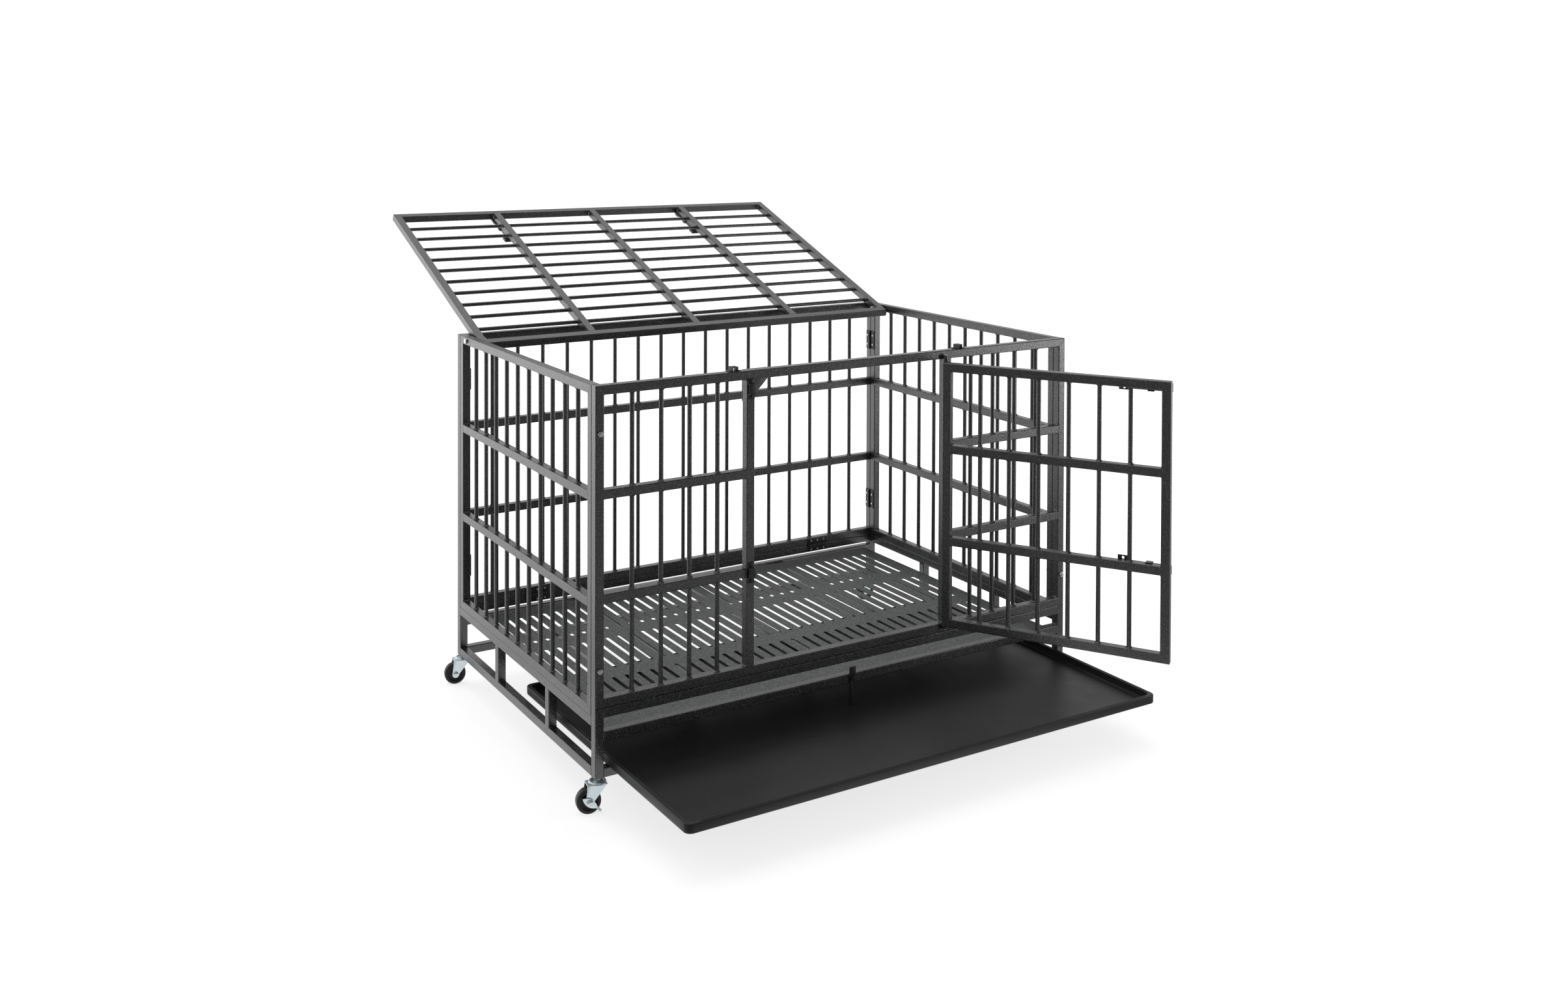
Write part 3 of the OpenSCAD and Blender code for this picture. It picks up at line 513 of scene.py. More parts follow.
def hammered_paint_group():
    """Dimpled paint with a painted highlight on its crests, painted shade in its dimples, and scattered
    bright specks of metal flake with painted glints.
    """
    name = "Hammered paint"
    if name in bpy.data.node_groups:
        return bpy.data.node_groups[name]
    bend = 0.0022
    dimple_smooth = 0.35
    crest_range = (0.15, 0.62)
    speck_finer = 1.25
    speck_range = (0.54, 0.66)
    cloud_scale = 9.0
    cloud_range = (0.3, 0.7)
    cloud_tone = (0.9, 1.1)
    # Colour is darkened in the dimples as painted shade and lightened on the crests as a painted highlight
    dimple_shade_tone = 0.55
    crest_highlight_tone = 0.45
    # Specks are metal flakes, made several times paler in colour partly as a painted glint
    flake_glint_tone = 4.0
    rough_change = 0.08
    swirl_height = 0.5
    tree, given, out = shader_group(
        name,
        [
            ("Colour", "NodeSocketColor", (0.06, 0.06, 0.06, 1)),
            ("Scale", "NodeSocketFloat", 300.0),
            ("Contrast", "NodeSocketFloat", 1.0),
            ("Base Roughness", "NodeSocketFloat", 0.4),
        ],
    )
    scale = given.outputs["Scale"]
    contrast = given.outputs["Contrast"]
    place = add_node(tree, "ShaderNodeTexCoord")
    swirl = add_noise(tree, place, scale, 2)
    bent = add_node(tree, "ShaderNodeVectorMath", operation="MULTIPLY_ADD")
    bent.inputs[1].default_value = (bend, bend, bend)
    tree.links.new(swirl.outputs["Color"], bent.inputs[0])
    tree.links.new(place.outputs["Object"], bent.inputs[2])
    cells = add_node(tree, "ShaderNodeTexVoronoi", feature="SMOOTH_F1")
    cells.inputs["Smoothness"].default_value = dimple_smooth
    tree.links.new(bent.outputs[0], cells.inputs["Vector"])
    tree.links.new(scale, cells.inputs["Scale"])
    specks = add_noise(tree, place, add_math(tree, "MULTIPLY", scale, speck_finer), 1)
    clouds = add_noise(tree, place, cloud_scale, 3)

    crest = add_range(tree, cells.outputs["Distance"], *crest_range, 0, 1)
    speck = add_range(tree, specks.outputs["Fac"], *speck_range, 0, 1)
    cloud = add_range(tree, clouds.outputs["Fac"], *cloud_range, *cloud_tone)
    # Painted highlight on the crests, following the same relief that the bump gives
    pale = add_math(tree, "MULTIPLY", crest, contrast)
    # Painted glints on the specks, on top of the flakes' own paleness
    bright = add_math(tree, "MULTIPLY", speck, contrast)
    tone = add_math(tree, "ADD", add_math(tree, "MULTIPLY", pale, crest_highlight_tone), dimple_shade_tone)
    tone = add_math(tree, "ADD", tone, add_math(tree, "MULTIPLY", bright, flake_glint_tone))
    add_tint(tree, given, add_math(tree, "MULTIPLY", tone, cloud), out)
    smoother = add_math(tree, "MULTIPLY", crest, rough_change)
    rougher = add_math(tree, "MULTIPLY", clouds.outputs["Fac"], rough_change)
    rough = add_math(tree, "SUBTRACT", given.outputs["Base Roughness"], smoother)
    tree.links.new(add_math(tree, "ADD", rough, rougher), out.inputs["Roughness"])
    ripple = add_math(tree, "MULTIPLY", swirl.outputs["Fac"], swirl_height)
    tree.links.new(add_math(tree, "ADD", crest, ripple), out.inputs["Height"])
    return tree


def fine_grain_group():
    """Fine grain and soft clouds for plastic, rubber and plated steel."""
    name = "Fine grain"
    if name in bpy.data.node_groups:
        return bpy.data.node_groups[name]
    cloud_scale = 14.0
    rough_share = 0.6
    tree, given, out = shader_group(
        name,
        [
            ("Colour", "NodeSocketColor", (0.5, 0.5, 0.5, 1)),
            ("Scale", "NodeSocketFloat", 900.0),
            ("Base Roughness", "NodeSocketFloat", 0.5),
            ("Variation", "NodeSocketFloat", 0.15),
        ],
    )
    place = add_node(tree, "ShaderNodeTexCoord")
    grain = add_noise(tree, place, given.outputs["Scale"], 2)
    clouds = add_noise(tree, place, cloud_scale, 4)
    both = add_math(tree, "ADD", grain.outputs["Fac"], clouds.outputs["Fac"])
    change = add_math(tree, "MULTIPLY", add_math(tree, "SUBTRACT", both, 1.0), given.outputs["Variation"])
    add_tint(tree, given, add_math(tree, "ADD", change, 1.0), out)
    rougher = add_math(tree, "MULTIPLY", change, rough_share)
    rough = add_math(tree, "ADD", given.outputs["Base Roughness"], rougher)
    tree.links.new(rough, out.inputs["Roughness"])
    tree.links.new(grain.outputs["Fac"], out.inputs["Height"])
    return tree


def textured_material(name, group, values, bump, plain):
    """Material whose colour, roughness and bump come from a group; plain numbers sit on the shader."""
    plain_inputs = {"metallic": "Metallic", "specular": "Specular IOR Level"}
    made = bpy.data.materials.new(name)
    made.use_nodes = True
    tree = made.node_tree
    shader = tree.nodes["Principled BSDF"]
    effect = add_node(tree, "ShaderNodeGroup", node_tree=group)
    for title, value in values.items():
        effect.inputs[title].default_value = value
    relief = add_node(tree, "ShaderNodeBump")
    relief.inputs["Strength"].default_value = 1.0
    relief.inputs["Distance"].default_value = bump
    tree.links.new(effect.outputs["Colour"], shader.inputs["Base Color"])
    tree.links.new(effect.outputs["Roughness"], shader.inputs["Roughness"])
    tree.links.new(effect.outputs["Height"], relief.inputs["Height"])
    tree.links.new(relief.outputs["Normal"], shader.inputs["Normal"])
    for key, value in plain.items():
        shader.inputs[plain_inputs[key]].default_value = value
    return made


def solid_colour(colour):
    """RGBA of a colour property."""
    return (colour[0], colour[1], colour[2], 1.0)


def hammered(name, colour, rough, finer, contrast, depth, **plain):
    """Hammered paint; finer and depth compare its dimples with those of the tubes' paint, and contrast sets
    the strength of the painted highlight on the crests and of the painted glints on the specks.
    """
    paint = bpy.context.scene.crate_paint
    values = {
        "Colour": solid_colour(colour),
        "Scale": 1 / paint.hammer_size * finer,
        "Base Roughness": rough,
        "Contrast": contrast,
    }
    return textured_material(name, hammered_paint_group(), values, paint.hammer_depth * depth, plain)


def grained(name, colour, rough, scale, variation, depth, **plain):
    """Grained plastic, rubber or plating; the depth of its grain is in millimetres."""
    values = {
        "Colour": solid_colour(colour),
        "Scale": scale,
        "Base Roughness": rough,
        "Variation": variation,
    }
    return textured_material(name, fine_grain_group(), values, depth * MM, plain)


def finish(slot):
    """The material of a slot, made when it is first asked for."""
    name = slot + "_finish"
    if name in bpy.data.materials:
        return bpy.data.materials[name]
    paint = bpy.context.scene.crate_paint
    casters = bpy.context.scene.crate_casters
    tray = bpy.context.scene.crate_tray
    if slot == "frame_paint":
        return hammered(
            name, paint.frame_colour, rough=0.3, finer=1, contrast=1, depth=1, specular=1.0
        )
    if slot == "floor_paint":
        return hammered(
            name, paint.floor_colour, rough=0.5, finer=1.2, contrast=0.5, depth=0.5, metallic=0.25
        )
    if slot == "black_fittings":
        return hammered(
            name, paint.fitting_colour, rough=0.4, finer=1.6, contrast=0.6, depth=0.3, metallic=0.1
        )
    if slot == "zinc_plate":
        return grained(
            name, casters.zinc_colour, rough=0.38, scale=500, variation=0.1, depth=0.01, metallic=0.9
        )
    if slot == "bright_steel":
        return grained(
            name, casters.steel_colour, rough=0.36, scale=800, variation=0.2, depth=0.02, metallic=0.9
        )
    if slot == "wheel_rubber":
        return grained(
            name, casters.rubber_colour, rough=0.40, scale=700, variation=0.4, depth=0.04, specular=0.3
        )
    if slot == "tray_plastic":
        return grained(
            name, tray.colour, rough=0.42, scale=1200, variation=0.3, depth=0.06, specular=0.35
        )
    if slot == "plug_plastic":
        return grained(name, casters.plug_colour, rough=0.5, scale=900, variation=0.3, depth=0.05)
    raise RuntimeError("No finish is known for the slot " + slot)


class CRATE_OT_paint_frame(bpy.types.Operator):
    """Gives every CAD node the finish of its slot"""

    bl_idname = "crate.paint_frame"
    bl_label = "Paint the tubes and bars"

    def execute(self, context):
        for node, piece in frame["nodes"].items():
            piece.data.materials.clear()
            piece.data.materials.append(finish(SLOT_OF[node]))
        return {"FINISHED"}


# Weld beads


def wobble(seed, along):
    """Repeatable unevenness between -1 and 1, as a hand-laid bead has."""
    slow = math.sin(37.1 * seed + 9.3 * along)
    quick = math.sin(91.7 * seed + 21.7 * along)
    return 0.6 * slow + 0.4 * quick


def islands(node):
    """Vertex places of each solid of a CAD node, in the order in which the mesh lists the solids."""
    solid = welded_copy(node)
    pending = set(solid.verts)
    found = []
    for first in solid.verts:
        if first not in pending:
            continue
        pending.remove(first)
        stack = [first]
        places = []
        while stack:
            vert = stack.pop()
            places.append(vert.co.copy())
            for edge in vert.link_edges:
                other = edge.other_vert(vert)
                if other in pending:
                    pending.remove(other)
                    stack.append(other)
        found.append(places)
    solid.free()
    return found


def island_boxes(node, axes):
    """Lowest and highest corner of each solid of a CAD node, along the rows of a 3x3 matrix."""
    boxes = []
    for places in islands(node):
        turned = [axes @ place for place in places]
        low = Vector([min(place[i] for place in turned) for i in range(3)])
        high = Vector([max(place[i] for place in turned) for i in range(3)])
        boxes.append((low, high))
    return boxes


def panel_axes(panel):
    """Rows along the rails, along the rods and out of the panel, read from the row of rods."""
    along_rods = Vector((1, 0, 0)) if panel == "lid" else Vector((0, 0, 1))
    middles = [sum(places, Vector()) / len(places) for places in islands(panel + "_rods")]
    along_rails = Vector()
    for middle in middles:
        step = middle - middles[0]
        step -= along_rods * step.dot(along_rods)
        if step.length > along_rails.length:
            along_rails = step
    along_rails.normalize()
    return Matrix((along_rails, along_rods, along_rails.cross(along_rods)))


def inside(boxes, point):
    """Whether a point lies in any of the boxes."""
    for low, high in boxes:
        if all(low[i] < point[i] < high[i] for i in range(3)):
            return True
    return False


def unit(axis, length=1):
    """Vector along one axis, of length 1 unless another length is given."""
    made = Vector((0, 0, 0))
    made[axis] = length
    return made


class Beads:
    """Weld beads of one body, laid in a panel's own axes."""

    # Distance at which a neighbouring tube is looked for
    NEAR = 1.0 * MM

    def __init__(self, settings):
        self.settings = settings
        self.shape = Shape()
        self.axes = Matrix.Identity(3)
        self.count = 0

    def world(self, point):
        """A point of the panel's axes in the shared frame."""
        return self.axes.transposed() @ point

    def run(self, start, end, section):
        """Sweeps a section of (direction, direction, pairs) along a line, uneven and thinner at its ends."""
        first, second, pairs = section
        step_length = 2.2 * MM
        unevenness = 0.22
        end_size = 0.55
        self.count += 1
        steps = max(3, round((end - start).length / step_length))
        rings = []
        for i in range(steps + 1):
            size = 1 + unevenness * wobble(self.count, i)
            if i in (0, steps):
                size *= end_size
            middle = start.lerp(end, i / steps)
            rings.append([self.world(middle + first * a * size + second * b * size) for a, b in pairs])
        self.shape.skin(rings)

    def corner(self, start, end, first, second):
        """Bead in an inside corner between two faces with these outward directions."""
        wide = self.settings.corner
        flank = 0.6 * wide
        rise = 0.34 * wide
        pairs = (
            (-BEAD_SUNK, -BEAD_SUNK),
            (wide, -BEAD_SUNK),
            (flank, rise),
            (rise, flank),
            (-BEAD_SUNK, wide),
        )
        self.run(start, end, (first, second, pairs))

    def seam(self, start, end, across, out):
        """Low bead along a seam on a flush face."""
        wide = self.settings.seam_width
        high = self.settings.seam_height
        flank = 0.5 * wide
        rise = 0.75 * high
        pairs = ((-wide, -BEAD_SUNK), (-flank, rise), (0, high), (flank, rise), (wide, -BEAD_SUNK))
        self.run(start, end, (across, out, pairs))

    def collar(self, place, radius, out):
        """Bead round a rod that leaves a rail's face; out is +1 or -1 along the rod."""
        lobes = 3
        lobe_share = 0.3
        unevenness = 0.14
        turn = 2.4
        self.count += 1
        steps = self.settings.around
        rings = []
        for i in range(steps):
            angle = 2 * math.pi * i / steps
            lobe = lobe_share * math.sin(lobes * angle + self.count * turn)
            size = self.settings.collar * (1 + lobe + unevenness * wobble(self.count, i))
            pairs = (
                (radius - BEAD_SUNK, -BEAD_SUNK),
                (radius + size, -BEAD_SUNK),
                (radius + 0.66 * size, 0.36 * size),
                (radius + 0.28 * size, 0.74 * size),
                (radius - BEAD_SUNK, 1.05 * size),
            )
            ring = []
            for reach, rise in pairs:
                local = place + Vector((reach * math.cos(angle), out * rise, reach * math.sin(angle)))
                ring.append(self.world(local))
            rings.append(ring)
        self.shape.skin(rings, wrap=True)

    def butt_joints(self, boxes, others, bare_top=False):
        """Beads where the ends of the tubes in these boxes meet other tubes; a bare top gets none."""
        for low, high in boxes:
            size = high - low
            along = max(range(3), key=lambda i: size[i])
            middle = (low + high) / 2
            for end, sign in ((low[along], -1), (high[along], 1)):
                tip = middle.copy()
                tip[along] = end
                if inside(others, tip + unit(along, sign * self.NEAR)):
                    self.end_beads(low, high, tip, along, sign, others, bare_top)

    def end_beads(self, low, high, tip, along, sign, others, bare_top):
        """Beads on the four sides of one tube end: in a corner, or on a face that is flush."""
        for side in range(3):
            if side == along:
                continue
            length = 3 - along - side
            for face, out in ((low[side], -1), (high[side], 1)):
                is_top = side == 2 and out > 0
                if bare_top and is_top:
                    continue
                start = tip.copy()
                start[side] = face
                end = start.copy()
                start[length] = low[length] + TUBE_ROUND
                end[length] = high[length] - TUBE_ROUND
                probe = (start + end) / 2 + unit(along, sign * self.NEAR)
                if inside(others, probe + unit(side, out * self.NEAR)):
                    self.corner(start, end, unit(side, out), unit(along, -sign))
                elif inside(others, probe - unit(side, out * self.NEAR)):
                    self.seam(start, end, unit(along), unit(side, out))

    def mitres(self, low, high, tube):
        """Beads at the four mitred corners of a panel."""
        for rail_side in (-1, 1):
            for rod_side in (-1, 1):
                corner_x = high[0] if rail_side > 0 else low[0]
                corner_y = high[1] if rod_side > 0 else low[1]
                outer = Vector((corner_x, corner_y, 0))
                inner = outer - Vector((rail_side * tube, rod_side * tube, 0))
                across = Vector((rail_side, -rod_side, 0)).normalized()
                for face, out in ((low[2], -1), (high[2], 1)):
                    start = outer - Vector((rail_side, rod_side, 0)) * TUBE_ROUND
                    end = inner.copy()
                    start[2] = end[2] = face
                    self.seam(start, end, across, unit(2, out))
                start = inner.copy()
                end = inner.copy()
                start[2] = low[2] + TUBE_ROUND
                end[2] = high[2] - TUBE_ROUND
                self.corner(start, end, unit(0, -rail_side), unit(1, -rod_side))

    def panel(self, panel):
        """All beads of one panel: mitres, butt joints and collars on its rods."""
        self.axes = panel_axes(panel)
        tubes = island_boxes(panel + "_frame", self.axes)
        low = Vector([min(box[0][i] for box in tubes) for i in range(3)])
        high = Vector([max(box[1][i] for box in tubes) for i in range(3)])
        tube = high[2] - low[2]
        self.mitres(low, high, tube)
        straight = []
        rails = []
        for box in tubes:
            along = 0 if box[1][0] - box[0][0] > box[1][1] - box[0][1] else 1
            across = 1 - along
            if box[0][across] > low[across] + tube / 2 and box[1][across] < high[across] - tube / 2:
                straight.append(box)
            if along == 0:
                rails.append(box)
        self.butt_joints(straight, tubes)
        self.rod_collars(island_boxes(panel + "_rods", self.axes), rails)

    def rod_collars(self, rods, rails):
        """Beads round the rods at each rail's face that they end at or pass through."""
        reach = 0.5 * MM
        for rod_low, rod_high in rods:
            middle = (rod_low + rod_high) / 2
            radius = (rod_high[0] - rod_low[0]) / 2
            for rail_low, rail_high in rails:
                if not rail_low[0] < middle[0] < rail_high[0]:
                    continue
                for face, out in ((rail_low[1], -1), (rail_high[1], 1)):
                    if rod_low[1] - reach < face < rod_high[1] + reach:
                        self.collar(Vector((middle[0], face, middle[2])), radius, out)


class CRATE_OT_lay_welds(bpy.types.Operator):
    """Lays weld beads round the rods, in the corners and along the seams of the tubes"""

    bl_idname = "crate.lay_welds"
    bl_label = "Lay the weld beads"

    def execute(self, context):
        settings = context.scene.crate_welds
        on_body = {"frame": Beads(settings), "lid": Beads(settings), "door": Beads(settings)}
        for panel in PANELS:
            body = body_of(frame["nodes"][panel + "_frame"])[0]
            on_body[body].panel(panel)
        base = on_body["frame"]
        base.axes = Matrix.Identity(3)
        tubes = {node: island_boxes(node, base.axes) for node in BASE_TUBES}
        together = [box for boxes in tubes.values() for box in boxes]
        for node, boxes in tubes.items():
            base.butt_joints(boxes, together, bare_top=node in BARE_TOPS)
        for body, beads in on_body.items():
            beads.shape.piece("welds_" + body, body, "frame_paint", sharp=60)
        return {"FINISHED"}


# Tray


class CRATE_OT_mould_tray(bpy.types.Operator):
    """Moulds the tray with rounded edges and a groove along each side of its rim"""

    bl_idname = "crate.mould_tray"
    bl_label = "Mould the tray"

    def execute(self, context):
        settings = context.scene.crate_tray
        low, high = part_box("tray")
        shape = Shape()
        rings = []
        for inset, height, groove in tray_profile(settings, high.z - low.z):
            rings.append(tray_ring(settings, low, high, inset, height, groove))
        shape.skin(rings)
        tray = shape.piece("tray_moulding", "tray", "tray_plastic", sharp=50)
        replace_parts(tray, "tray")
        return {"FINISHED"}


def tray_profile(settings, tall):
    """(inset, height, share of the groove) from the middle of the underside over the rim to the floor."""
    edge = settings.edge
    rim = settings.rim
    bottom = settings.bottom
    middle = rim / 2
    half = settings.groove_width / 2
    lip = 0.3 * MM
    last_inset = rim + 30 * MM
    outside = (
        (last_inset, 0, 0),
        (2.2 * edge, 0, 0),
        (1.1 * edge, 0.1 * edge, 0),
        (0.3 * edge, 0.6 * edge, 0),
        (0, 1.7 * edge, 0),
        (0, tall - 1.2 * edge, 0),
        (0.12 * edge, tall - 0.6 * edge, 0),
        (0.45 * edge, tall - 0.2 * edge, 0),
        (1.1 * edge, tall, 0),
    )
    grooved_top = (
        (middle - half - lip, tall, 0),
        (middle - half, tall, 0.25),
        (middle - 0.7 * half, tall, 1),
        (middle + 0.7 * half, tall, 1),
        (middle + half, tall, 0.25),
        (middle + half + lip, tall, 0),
    )
    inside_wall = (
        (rim - 0.9 * edge, tall, 0),
        (rim - 0.4 * edge, tall - 0.15 * edge, 0),
        (rim - 0.1 * edge, tall - 0.5 * edge, 0),
        (rim, tall - 1.1 * edge, 0),
    )
    hollow = (
        (rim + 0.4 * MM, bottom + 4.5 * MM, 0),
        (rim + 1.0 * MM, bottom + 2.2 * MM, 0),
        (rim + 2.2 * MM, bottom + 0.8 * MM, 0),
        (rim + 4.5 * MM, bottom + 0.1 * MM, 0),
        (rim + 7.0 * MM, bottom, 0),
        (last_inset, bottom, 0),
    )
    return outside + grooved_top + inside_wall + hollow


def tray_ring(settings, low, high, inset, height, groove):
    """Points round the tray at one inset; the groove fades out before the corners."""
    radius = settings.corner
    fade_start = 2.0 * radius
    fade_length = 5 * MM
    fade = ((fade_start, 0.0), (fade_start + fade_length, 1.0))
    corner_steps = 10
    least_share = 0.1
    half = Vector(((high.x - low.x) / 2 - inset, (high.y - low.y) / 2 - inset))
    middle = (low + high) / 2
    ring = []

    def put(x, y, depth):
        """Adds a point, sunk by its share of the groove."""
        drop = groove * depth * settings.groove_depth
        ring.append((middle.x + x, middle.y + y, low.z + height - drop))

    def past_corner(run):
        """Distance from this ring's corner that lies opposite a distance along the tray's edge."""
        straight = run - radius
        return radius + max(straight - inset, least_share * straight)

    for quarter in range(4):
        turn = Matrix.Rotation(quarter * math.pi / 2, 2)
        long, short = (half.x, half.y) if quarter % 2 == 0 else (half.y, half.x)
        for run, depth in fade:
            put(*(turn @ Vector((long, -short + past_corner(run)))), depth)
        for run, depth in reversed(fade):
            put(*(turn @ Vector((long, short - past_corner(run)))), depth)
        for step in range(corner_steps + 1):
            angle = step / corner_steps * math.pi / 2
            corner = Vector((long - radius, short - radius))
            put(*(turn @ (corner + radius * Vector((math.cos(angle), math.sin(angle))))), 0.0)
    return ring


# Casters


class CRATE_OT_turn_wheels(bpy.types.Operator):
    """Turns the wheels with a crowned tread, a dished face and a hub"""

    bl_idname = "crate.turn_wheels"
    bl_label = "Turn the wheels"

    def execute(self, context):
        steps = context.scene.crate_casters.turned_steps
        for caster in CASTERS:
            node = "wheel_" + caster
            place = axis_place(JOINTS[node + "_roll"])
            low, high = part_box(node)
            tread = (high.z - low.z) / 2
            shape = Shape()
            shape.skin(turned_rings(wheel_profile(tread), steps, place), wrap=True)
            wheel = shape.piece(node + "_turned", node, "wheel_rubber")
            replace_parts(wheel, node)
        return {"FINISHED"}


def wheel_profile(tread):
    """Closed (radius, height) outline of a wheel with its axis along Z."""
    half = 10 * MM
    bore = 4.1 * MM
    hub = 9.5 * MM
    face = tread - 8.5 * MM
    dish = half - 3 * MM
    step = dish + 0.9 * MM
    crown = 0.5 * MM
    edge = 2.6 * MM
    rounding = 0.9 * MM
    side = [
        (bore, half),
        (hub, half),
        (hub + 1 * MM, dish),
        (face - 3.2 * MM, dish),
        (face - 2.6 * MM, step),
        (face - 0.4 * MM, step),
        (face + 0.4 * MM, half),
        (tread - edge, half),
        (tread - crown, half - edge),
        (tread, half - 6.0 * MM),
    ]
    other = [(radius, -height) for radius, height in reversed(side)]
    return rounded(side + other, rounding)


class CRATE_OT_plate_forks(bpy.types.Operator):
    """Rounds the bent forks and the brake levers and turns the swivel cups and the axles"""

    bl_idname = "crate.plate_forks"
    bl_label = "Finish the forks"

    def execute(self, context):
        settings = context.scene.crate_casters
        cups = Shape()
        for caster in CASTERS:
            softened("fork_" + caster, settings.fork_round)
            self.turn_axle(caster, settings.turned_steps)
            swivel = JOINTS["swivel_" + caster + "_turn"]
            low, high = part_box("caster_cups")
            place = Matrix.Translation(Vector((swivel["pos_m"][0], swivel["pos_m"][1], low.z)))
            cups.skin(turned_rings(cup_profile(high.z - low.z), settings.turned_steps, place), wrap=True)
        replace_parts(cups.piece("caster_cups_turned", "frame", "zinc_plate"), "caster_cups")
        for side in ("left", "right"):
            softened("brake_front_" + side, PLATED_ROUND)
        return {"FINISHED"}

    def turn_axle(self, caster, steps):
        """Axle with a domed rivet head at each end, as long as the CAD axle."""
        node = "axle_" + caster
        place = axis_place(JOINTS["wheel_" + caster + "_roll"])
        back = place.inverted()
        heights = [(back @ vert.co).z for vert in frame["nodes"][node].data.vertices]
        low, high = min(heights), max(heights)
        thick = 3.5 * MM
        wide = 6.5 * MM
        shank = 4 * MM
        dimple = 0.5 * MM
        tip = 0.02 * MM
        head = [
            (tip, dimple),
            (1.6 * MM, dimple),
            (2.2 * MM, 0),
            (0.55 * wide, 0.1 * MM),
            (0.85 * wide, 0.9 * MM),
            (wide, 2.4 * MM),
            (wide, thick),
            (shank, thick),
        ]
        profile = [(radius, low + depth) for radius, depth in head]
        profile += [(radius, high - depth) for radius, depth in reversed(head)]
        shape = Shape()
        shape.skin(turned_rings(profile, steps, place))
        axle = shape.piece(node + "_turned", "swivel_" + caster, "bright_steel")
        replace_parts(axle, node)


def cup_profile(tall):
    """Closed (radius, height) outline of a swivel cup: a dished ring with a boss in its middle."""
    bore = 5.2 * MM
    outer = 18 * MM
    boss = 7 * MM
    sheet = 1.2 * MM
    rim = 3.6 * MM
    rounding = 0.7 * MM
    outline = [
        (bore, 0),
        (outer, 0),
        (outer, sheet),
        (outer - 1.8 * MM, rim),
        (outer - 4.6 * MM, rim),
        (outer - 5.8 * MM, sheet),
        (boss + 0.6 * MM, sheet),
        (boss, 0.5 * tall),
        (boss, tall),
        (bore, tall),
    ]
    return rounded(outline, rounding)


# Fittings


class CRATE_OT_soften_fittings(bpy.types.Operator):
    """Rounds the edges of the bolts, straps, hinges, screws, nuts and rivets"""

    bl_idname = "crate.soften_fittings"
    bl_label = "Finish the fittings"

    def execute(self, context):
        for node in BLACK_FITTINGS + PAINTED_FITTINGS:
            softened(node, PAINTED_ROUND)
        for node in BRIGHT_FITTINGS:
            softened(node, PLATED_ROUND)
        self.rivet_keepers(context.scene.crate_casters.turned_steps)
        return {"FINISHED"}

    def rivet_keepers(self, steps):
        """Domed rivet heads on the feet of the straps that keep the door's bolts."""
        strap = 2 * MM
        foot = 5 * MM
        dome = [
            (3.8 * MM, -0.2 * MM),
            (3.8 * MM, 0.5 * MM),
            (3.2 * MM, 1.3 * MM),
            (2.0 * MM, 1.8 * MM),
            (0.5 * MM, 2 * MM),
        ]
        heads = Shape()
        for low, high in island_boxes("door_keepers", Matrix.Identity(3)):
            for height in (low.z + foot, high.z - foot):
                spot = Matrix.Translation(Vector(((low.x + high.x) / 2, high.y - strap, height)))
                heads.skin(turned_rings(dome, steps, spot @ Matrix.Rotation(math.pi / 2, 4, "X")))
        heads.piece("door_keeper_rivets", "frame", "black_fittings")


# Stage


class CRATE_OT_set_stage(bpy.types.Operator):
    """Makes the pale floor, the soft lamps, the white surroundings and the camera"""

    bl_idname = "crate.set_stage"
    bl_label = "Set the stage"

    def execute(self, context):
        settings = context.scene.crate_stage
        context.scene.view_settings.view_transform = "Standard"
        make_floor(settings)
        make_surroundings(context.scene, settings)
        for name, (place, width) in LAMPS.items():
            make_lamp(name, Vector(place), width, getattr(settings, name))
        lens = bpy.data.cameras.new("camera")
        lens.lens = settings.lens
        lens.sensor_width = 36
        lens.sensor_fit = "HORIZONTAL"
        lens.shift_x = settings.shift_x
        lens.shift_y = settings.shift_y
        lens.clip_start = 0.05
        lens.clip_end = 200
        camera = bpy.data.objects.new("camera", lens)
        context.scene.collection.objects.link(camera)
        camera.location = settings.camera_place
        camera.rotation_euler = settings.camera_turn
        context.scene.camera = camera
        return {"FINISHED"}


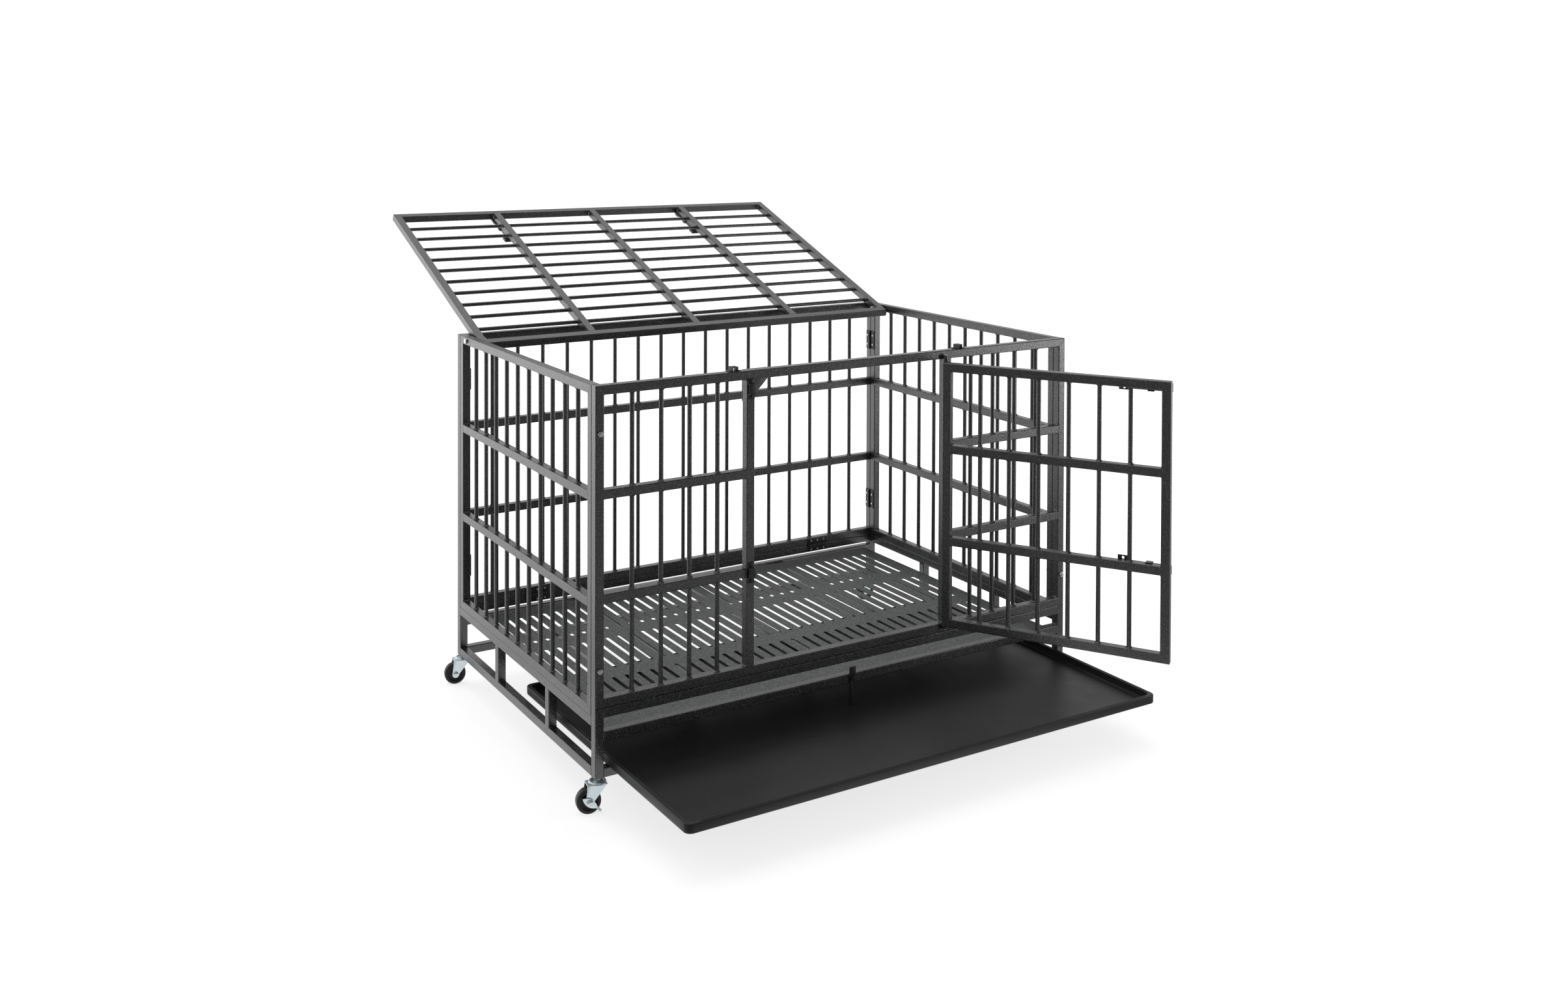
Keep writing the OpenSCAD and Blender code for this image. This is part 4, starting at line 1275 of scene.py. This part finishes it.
def make_floor(settings):
    """Wide floor that keeps the crate's shadow and is white to the camera elsewhere.

    In mirror images it glows bright behind the crate and close round it: a painted reflection, as no lamp is
    there.
    """
    reach = 30.0
    behind_range = (-0.4, 0.9)
    close_range = (0.84, 1.05)
    close_glow = 0.9
    mesh = bpy.data.meshes.new("studio_floor")
    corners = [(-reach, -reach, 0), (reach, -reach, 0), (reach, reach, 0), (-reach, reach, 0)]
    mesh.from_pydata(corners, [], [(0, 1, 2, 3)])
    floor = bpy.data.objects.new("studio_floor", mesh)
    bpy.context.scene.collection.objects.link(floor)
    made = bpy.data.materials.new("studio_floor")
    made.use_nodes = True
    tree = made.node_tree
    shader = tree.nodes["Principled BSDF"]
    shader.inputs["Base Color"].default_value = solid_colour(settings.floor_colour)
    shader.inputs["Roughness"].default_value = 0.9
    shader.inputs["Specular IOR Level"].default_value = 0.0
    shader.inputs["Emission Color"].default_value = WHITE
    place = add_node(tree, "ShaderNodeTexCoord")
    away = add_node(tree, "ShaderNodeVectorMath", operation="LENGTH")
    tree.links.new(place.outputs["Object"], away.inputs[0])
    distance = away.outputs["Value"]
    lift = add_range(tree, distance, settings.floor_near, settings.floor_far, settings.floor_lift, 1)
    rays = add_node(tree, "ShaderNodeLightPath")
    seen = add_math(tree, "MAXIMUM", rays.outputs["Is Camera Ray"], rays.outputs["Is Transmission Ray"])
    parts = add_node(tree, "ShaderNodeSeparateXYZ")
    tree.links.new(place.outputs["Object"], parts.inputs[0])
    # Painted reflection: the floor glows only to glossy rays, behind the crate and within about a metre of
    # its middle
    behind = add_range(tree, parts.outputs["Y"], *behind_range, 0, 1)
    close = add_range(tree, distance, *close_range, close_glow, 0)
    bright = add_math(tree, "MAXIMUM", behind, close)
    painted_reflection = add_math(tree, "MULTIPLY", rays.outputs["Is Glossy Ray"], bright)
    glow = add_math(tree, "MAXIMUM", add_math(tree, "MULTIPLY", seen, lift), painted_reflection)
    tree.links.new(glow, shader.inputs["Emission Strength"])
    mesh.materials.append(made)


def make_surroundings(scene, settings):
    """Room that is white to the camera and lights the crate mostly from behind and above."""
    bright_side = (-0.35, 0.80, 0.48)
    dim_to_bright = (-0.15, 0.55)
    world = bpy.data.worlds.new("surroundings")
    scene.world = world
    world.use_nodes = True
    tree = world.node_tree
    tree.nodes.clear()
    place = add_node(tree, "ShaderNodeTexCoord")
    toward = add_node(tree, "ShaderNodeVectorMath", operation="DOT_PRODUCT")
    toward.inputs[1].default_value = bright_side
    tree.links.new(place.outputs["Generated"], toward.inputs[0])
    level = add_range(
        tree, toward.outputs["Value"], *dim_to_bright, settings.room_dim, settings.room_bright
    )
    rays = add_node(tree, "ShaderNodeLightPath")
    seen = add_math(tree, "MAXIMUM", rays.outputs["Is Camera Ray"], rays.outputs["Is Transmission Ray"])
    room = add_node(tree, "ShaderNodeBackground")
    room.inputs["Color"].default_value = WHITE
    share = add_range(tree, rays.outputs["Is Glossy Ray"], 0, 1, settings.room_light, 1)
    lit = add_math(tree, "MULTIPLY", level, share)
    tree.links.new(add_math(tree, "MAXIMUM", seen, lit), room.inputs["Strength"])
    out = add_node(tree, "ShaderNodeOutputWorld")
    tree.links.new(room.outputs[0], out.inputs["Surface"])


def make_lamp(name, place, width, power):
    """Square soft box at a place, facing the crate; the camera doesn't see it."""
    light = bpy.data.lights.new(name, "AREA")
    light.shape = "SQUARE"
    light.size = width
    light.energy = power
    lamp = bpy.data.objects.new(name, light)
    lamp.visible_camera = False
    bpy.context.scene.collection.objects.link(lamp)
    lamp.location = place
    lamp.rotation_euler = (Vector(LAMP_TARGET) - place).to_track_quat("-Z", "Y").to_euler()


# Panel and registration


OPERATORS = (
    CRATE_OT_paint_frame,
    CRATE_OT_lay_welds,
    CRATE_OT_mould_tray,
    CRATE_OT_turn_wheels,
    CRATE_OT_plate_forks,
    CRATE_OT_soften_fittings,
    CRATE_OT_set_stage,
)
SETTINGS = {
    "crate_paint": CratePaint,
    "crate_welds": CrateWelds,
    "crate_tray": CrateTray,
    "crate_casters": CrateCasters,
    "crate_stage": CrateStage,
}


class CRATE_PT_looks(bpy.types.Panel):
    """Lists the crate's operators and settings"""

    bl_idname = "CRATE_PT_looks"
    bl_label = "Dog crate"
    bl_space_type = "VIEW_3D"
    bl_region_type = "UI"
    bl_category = "Crate"

    def draw(self, context):
        for operator in OPERATORS:
            self.layout.operator(operator.bl_idname)
        for name in SETTINGS:
            group = getattr(context.scene, name)
            box = self.layout.box()
            for key in group.bl_rna.properties.keys():
                if key not in ("rna_type", "name"):
                    box.prop(group, key)


def register():
    """Makes the settings, the operators and the panel known."""
    for name, group in SETTINGS.items():
        bpy.utils.register_class(group)
        setattr(bpy.types.Scene, name, PointerProperty(type=group))
    for operator in OPERATORS:
        bpy.utils.register_class(operator)
    bpy.utils.register_class(CRATE_PT_looks)


def unregister():
    """Takes the panel, the operators and the settings out again."""
    bpy.utils.unregister_class(CRATE_PT_looks)
    for operator in reversed(OPERATORS):
        bpy.utils.unregister_class(operator)
    for name, group in reversed(list(SETTINGS.items())):
        delattr(bpy.types.Scene, name)
        bpy.utils.unregister_class(group)


def main():
    """Builds all the looks."""
    register()
    bpy.ops.crate.paint_frame()
    bpy.ops.crate.lay_welds()
    bpy.ops.crate.mould_tray()
    bpy.ops.crate.turn_wheels()
    bpy.ops.crate.plate_forks()
    bpy.ops.crate.soften_fittings()
    bpy.ops.crate.set_stage()


if __name__ == "__main__":
    main()
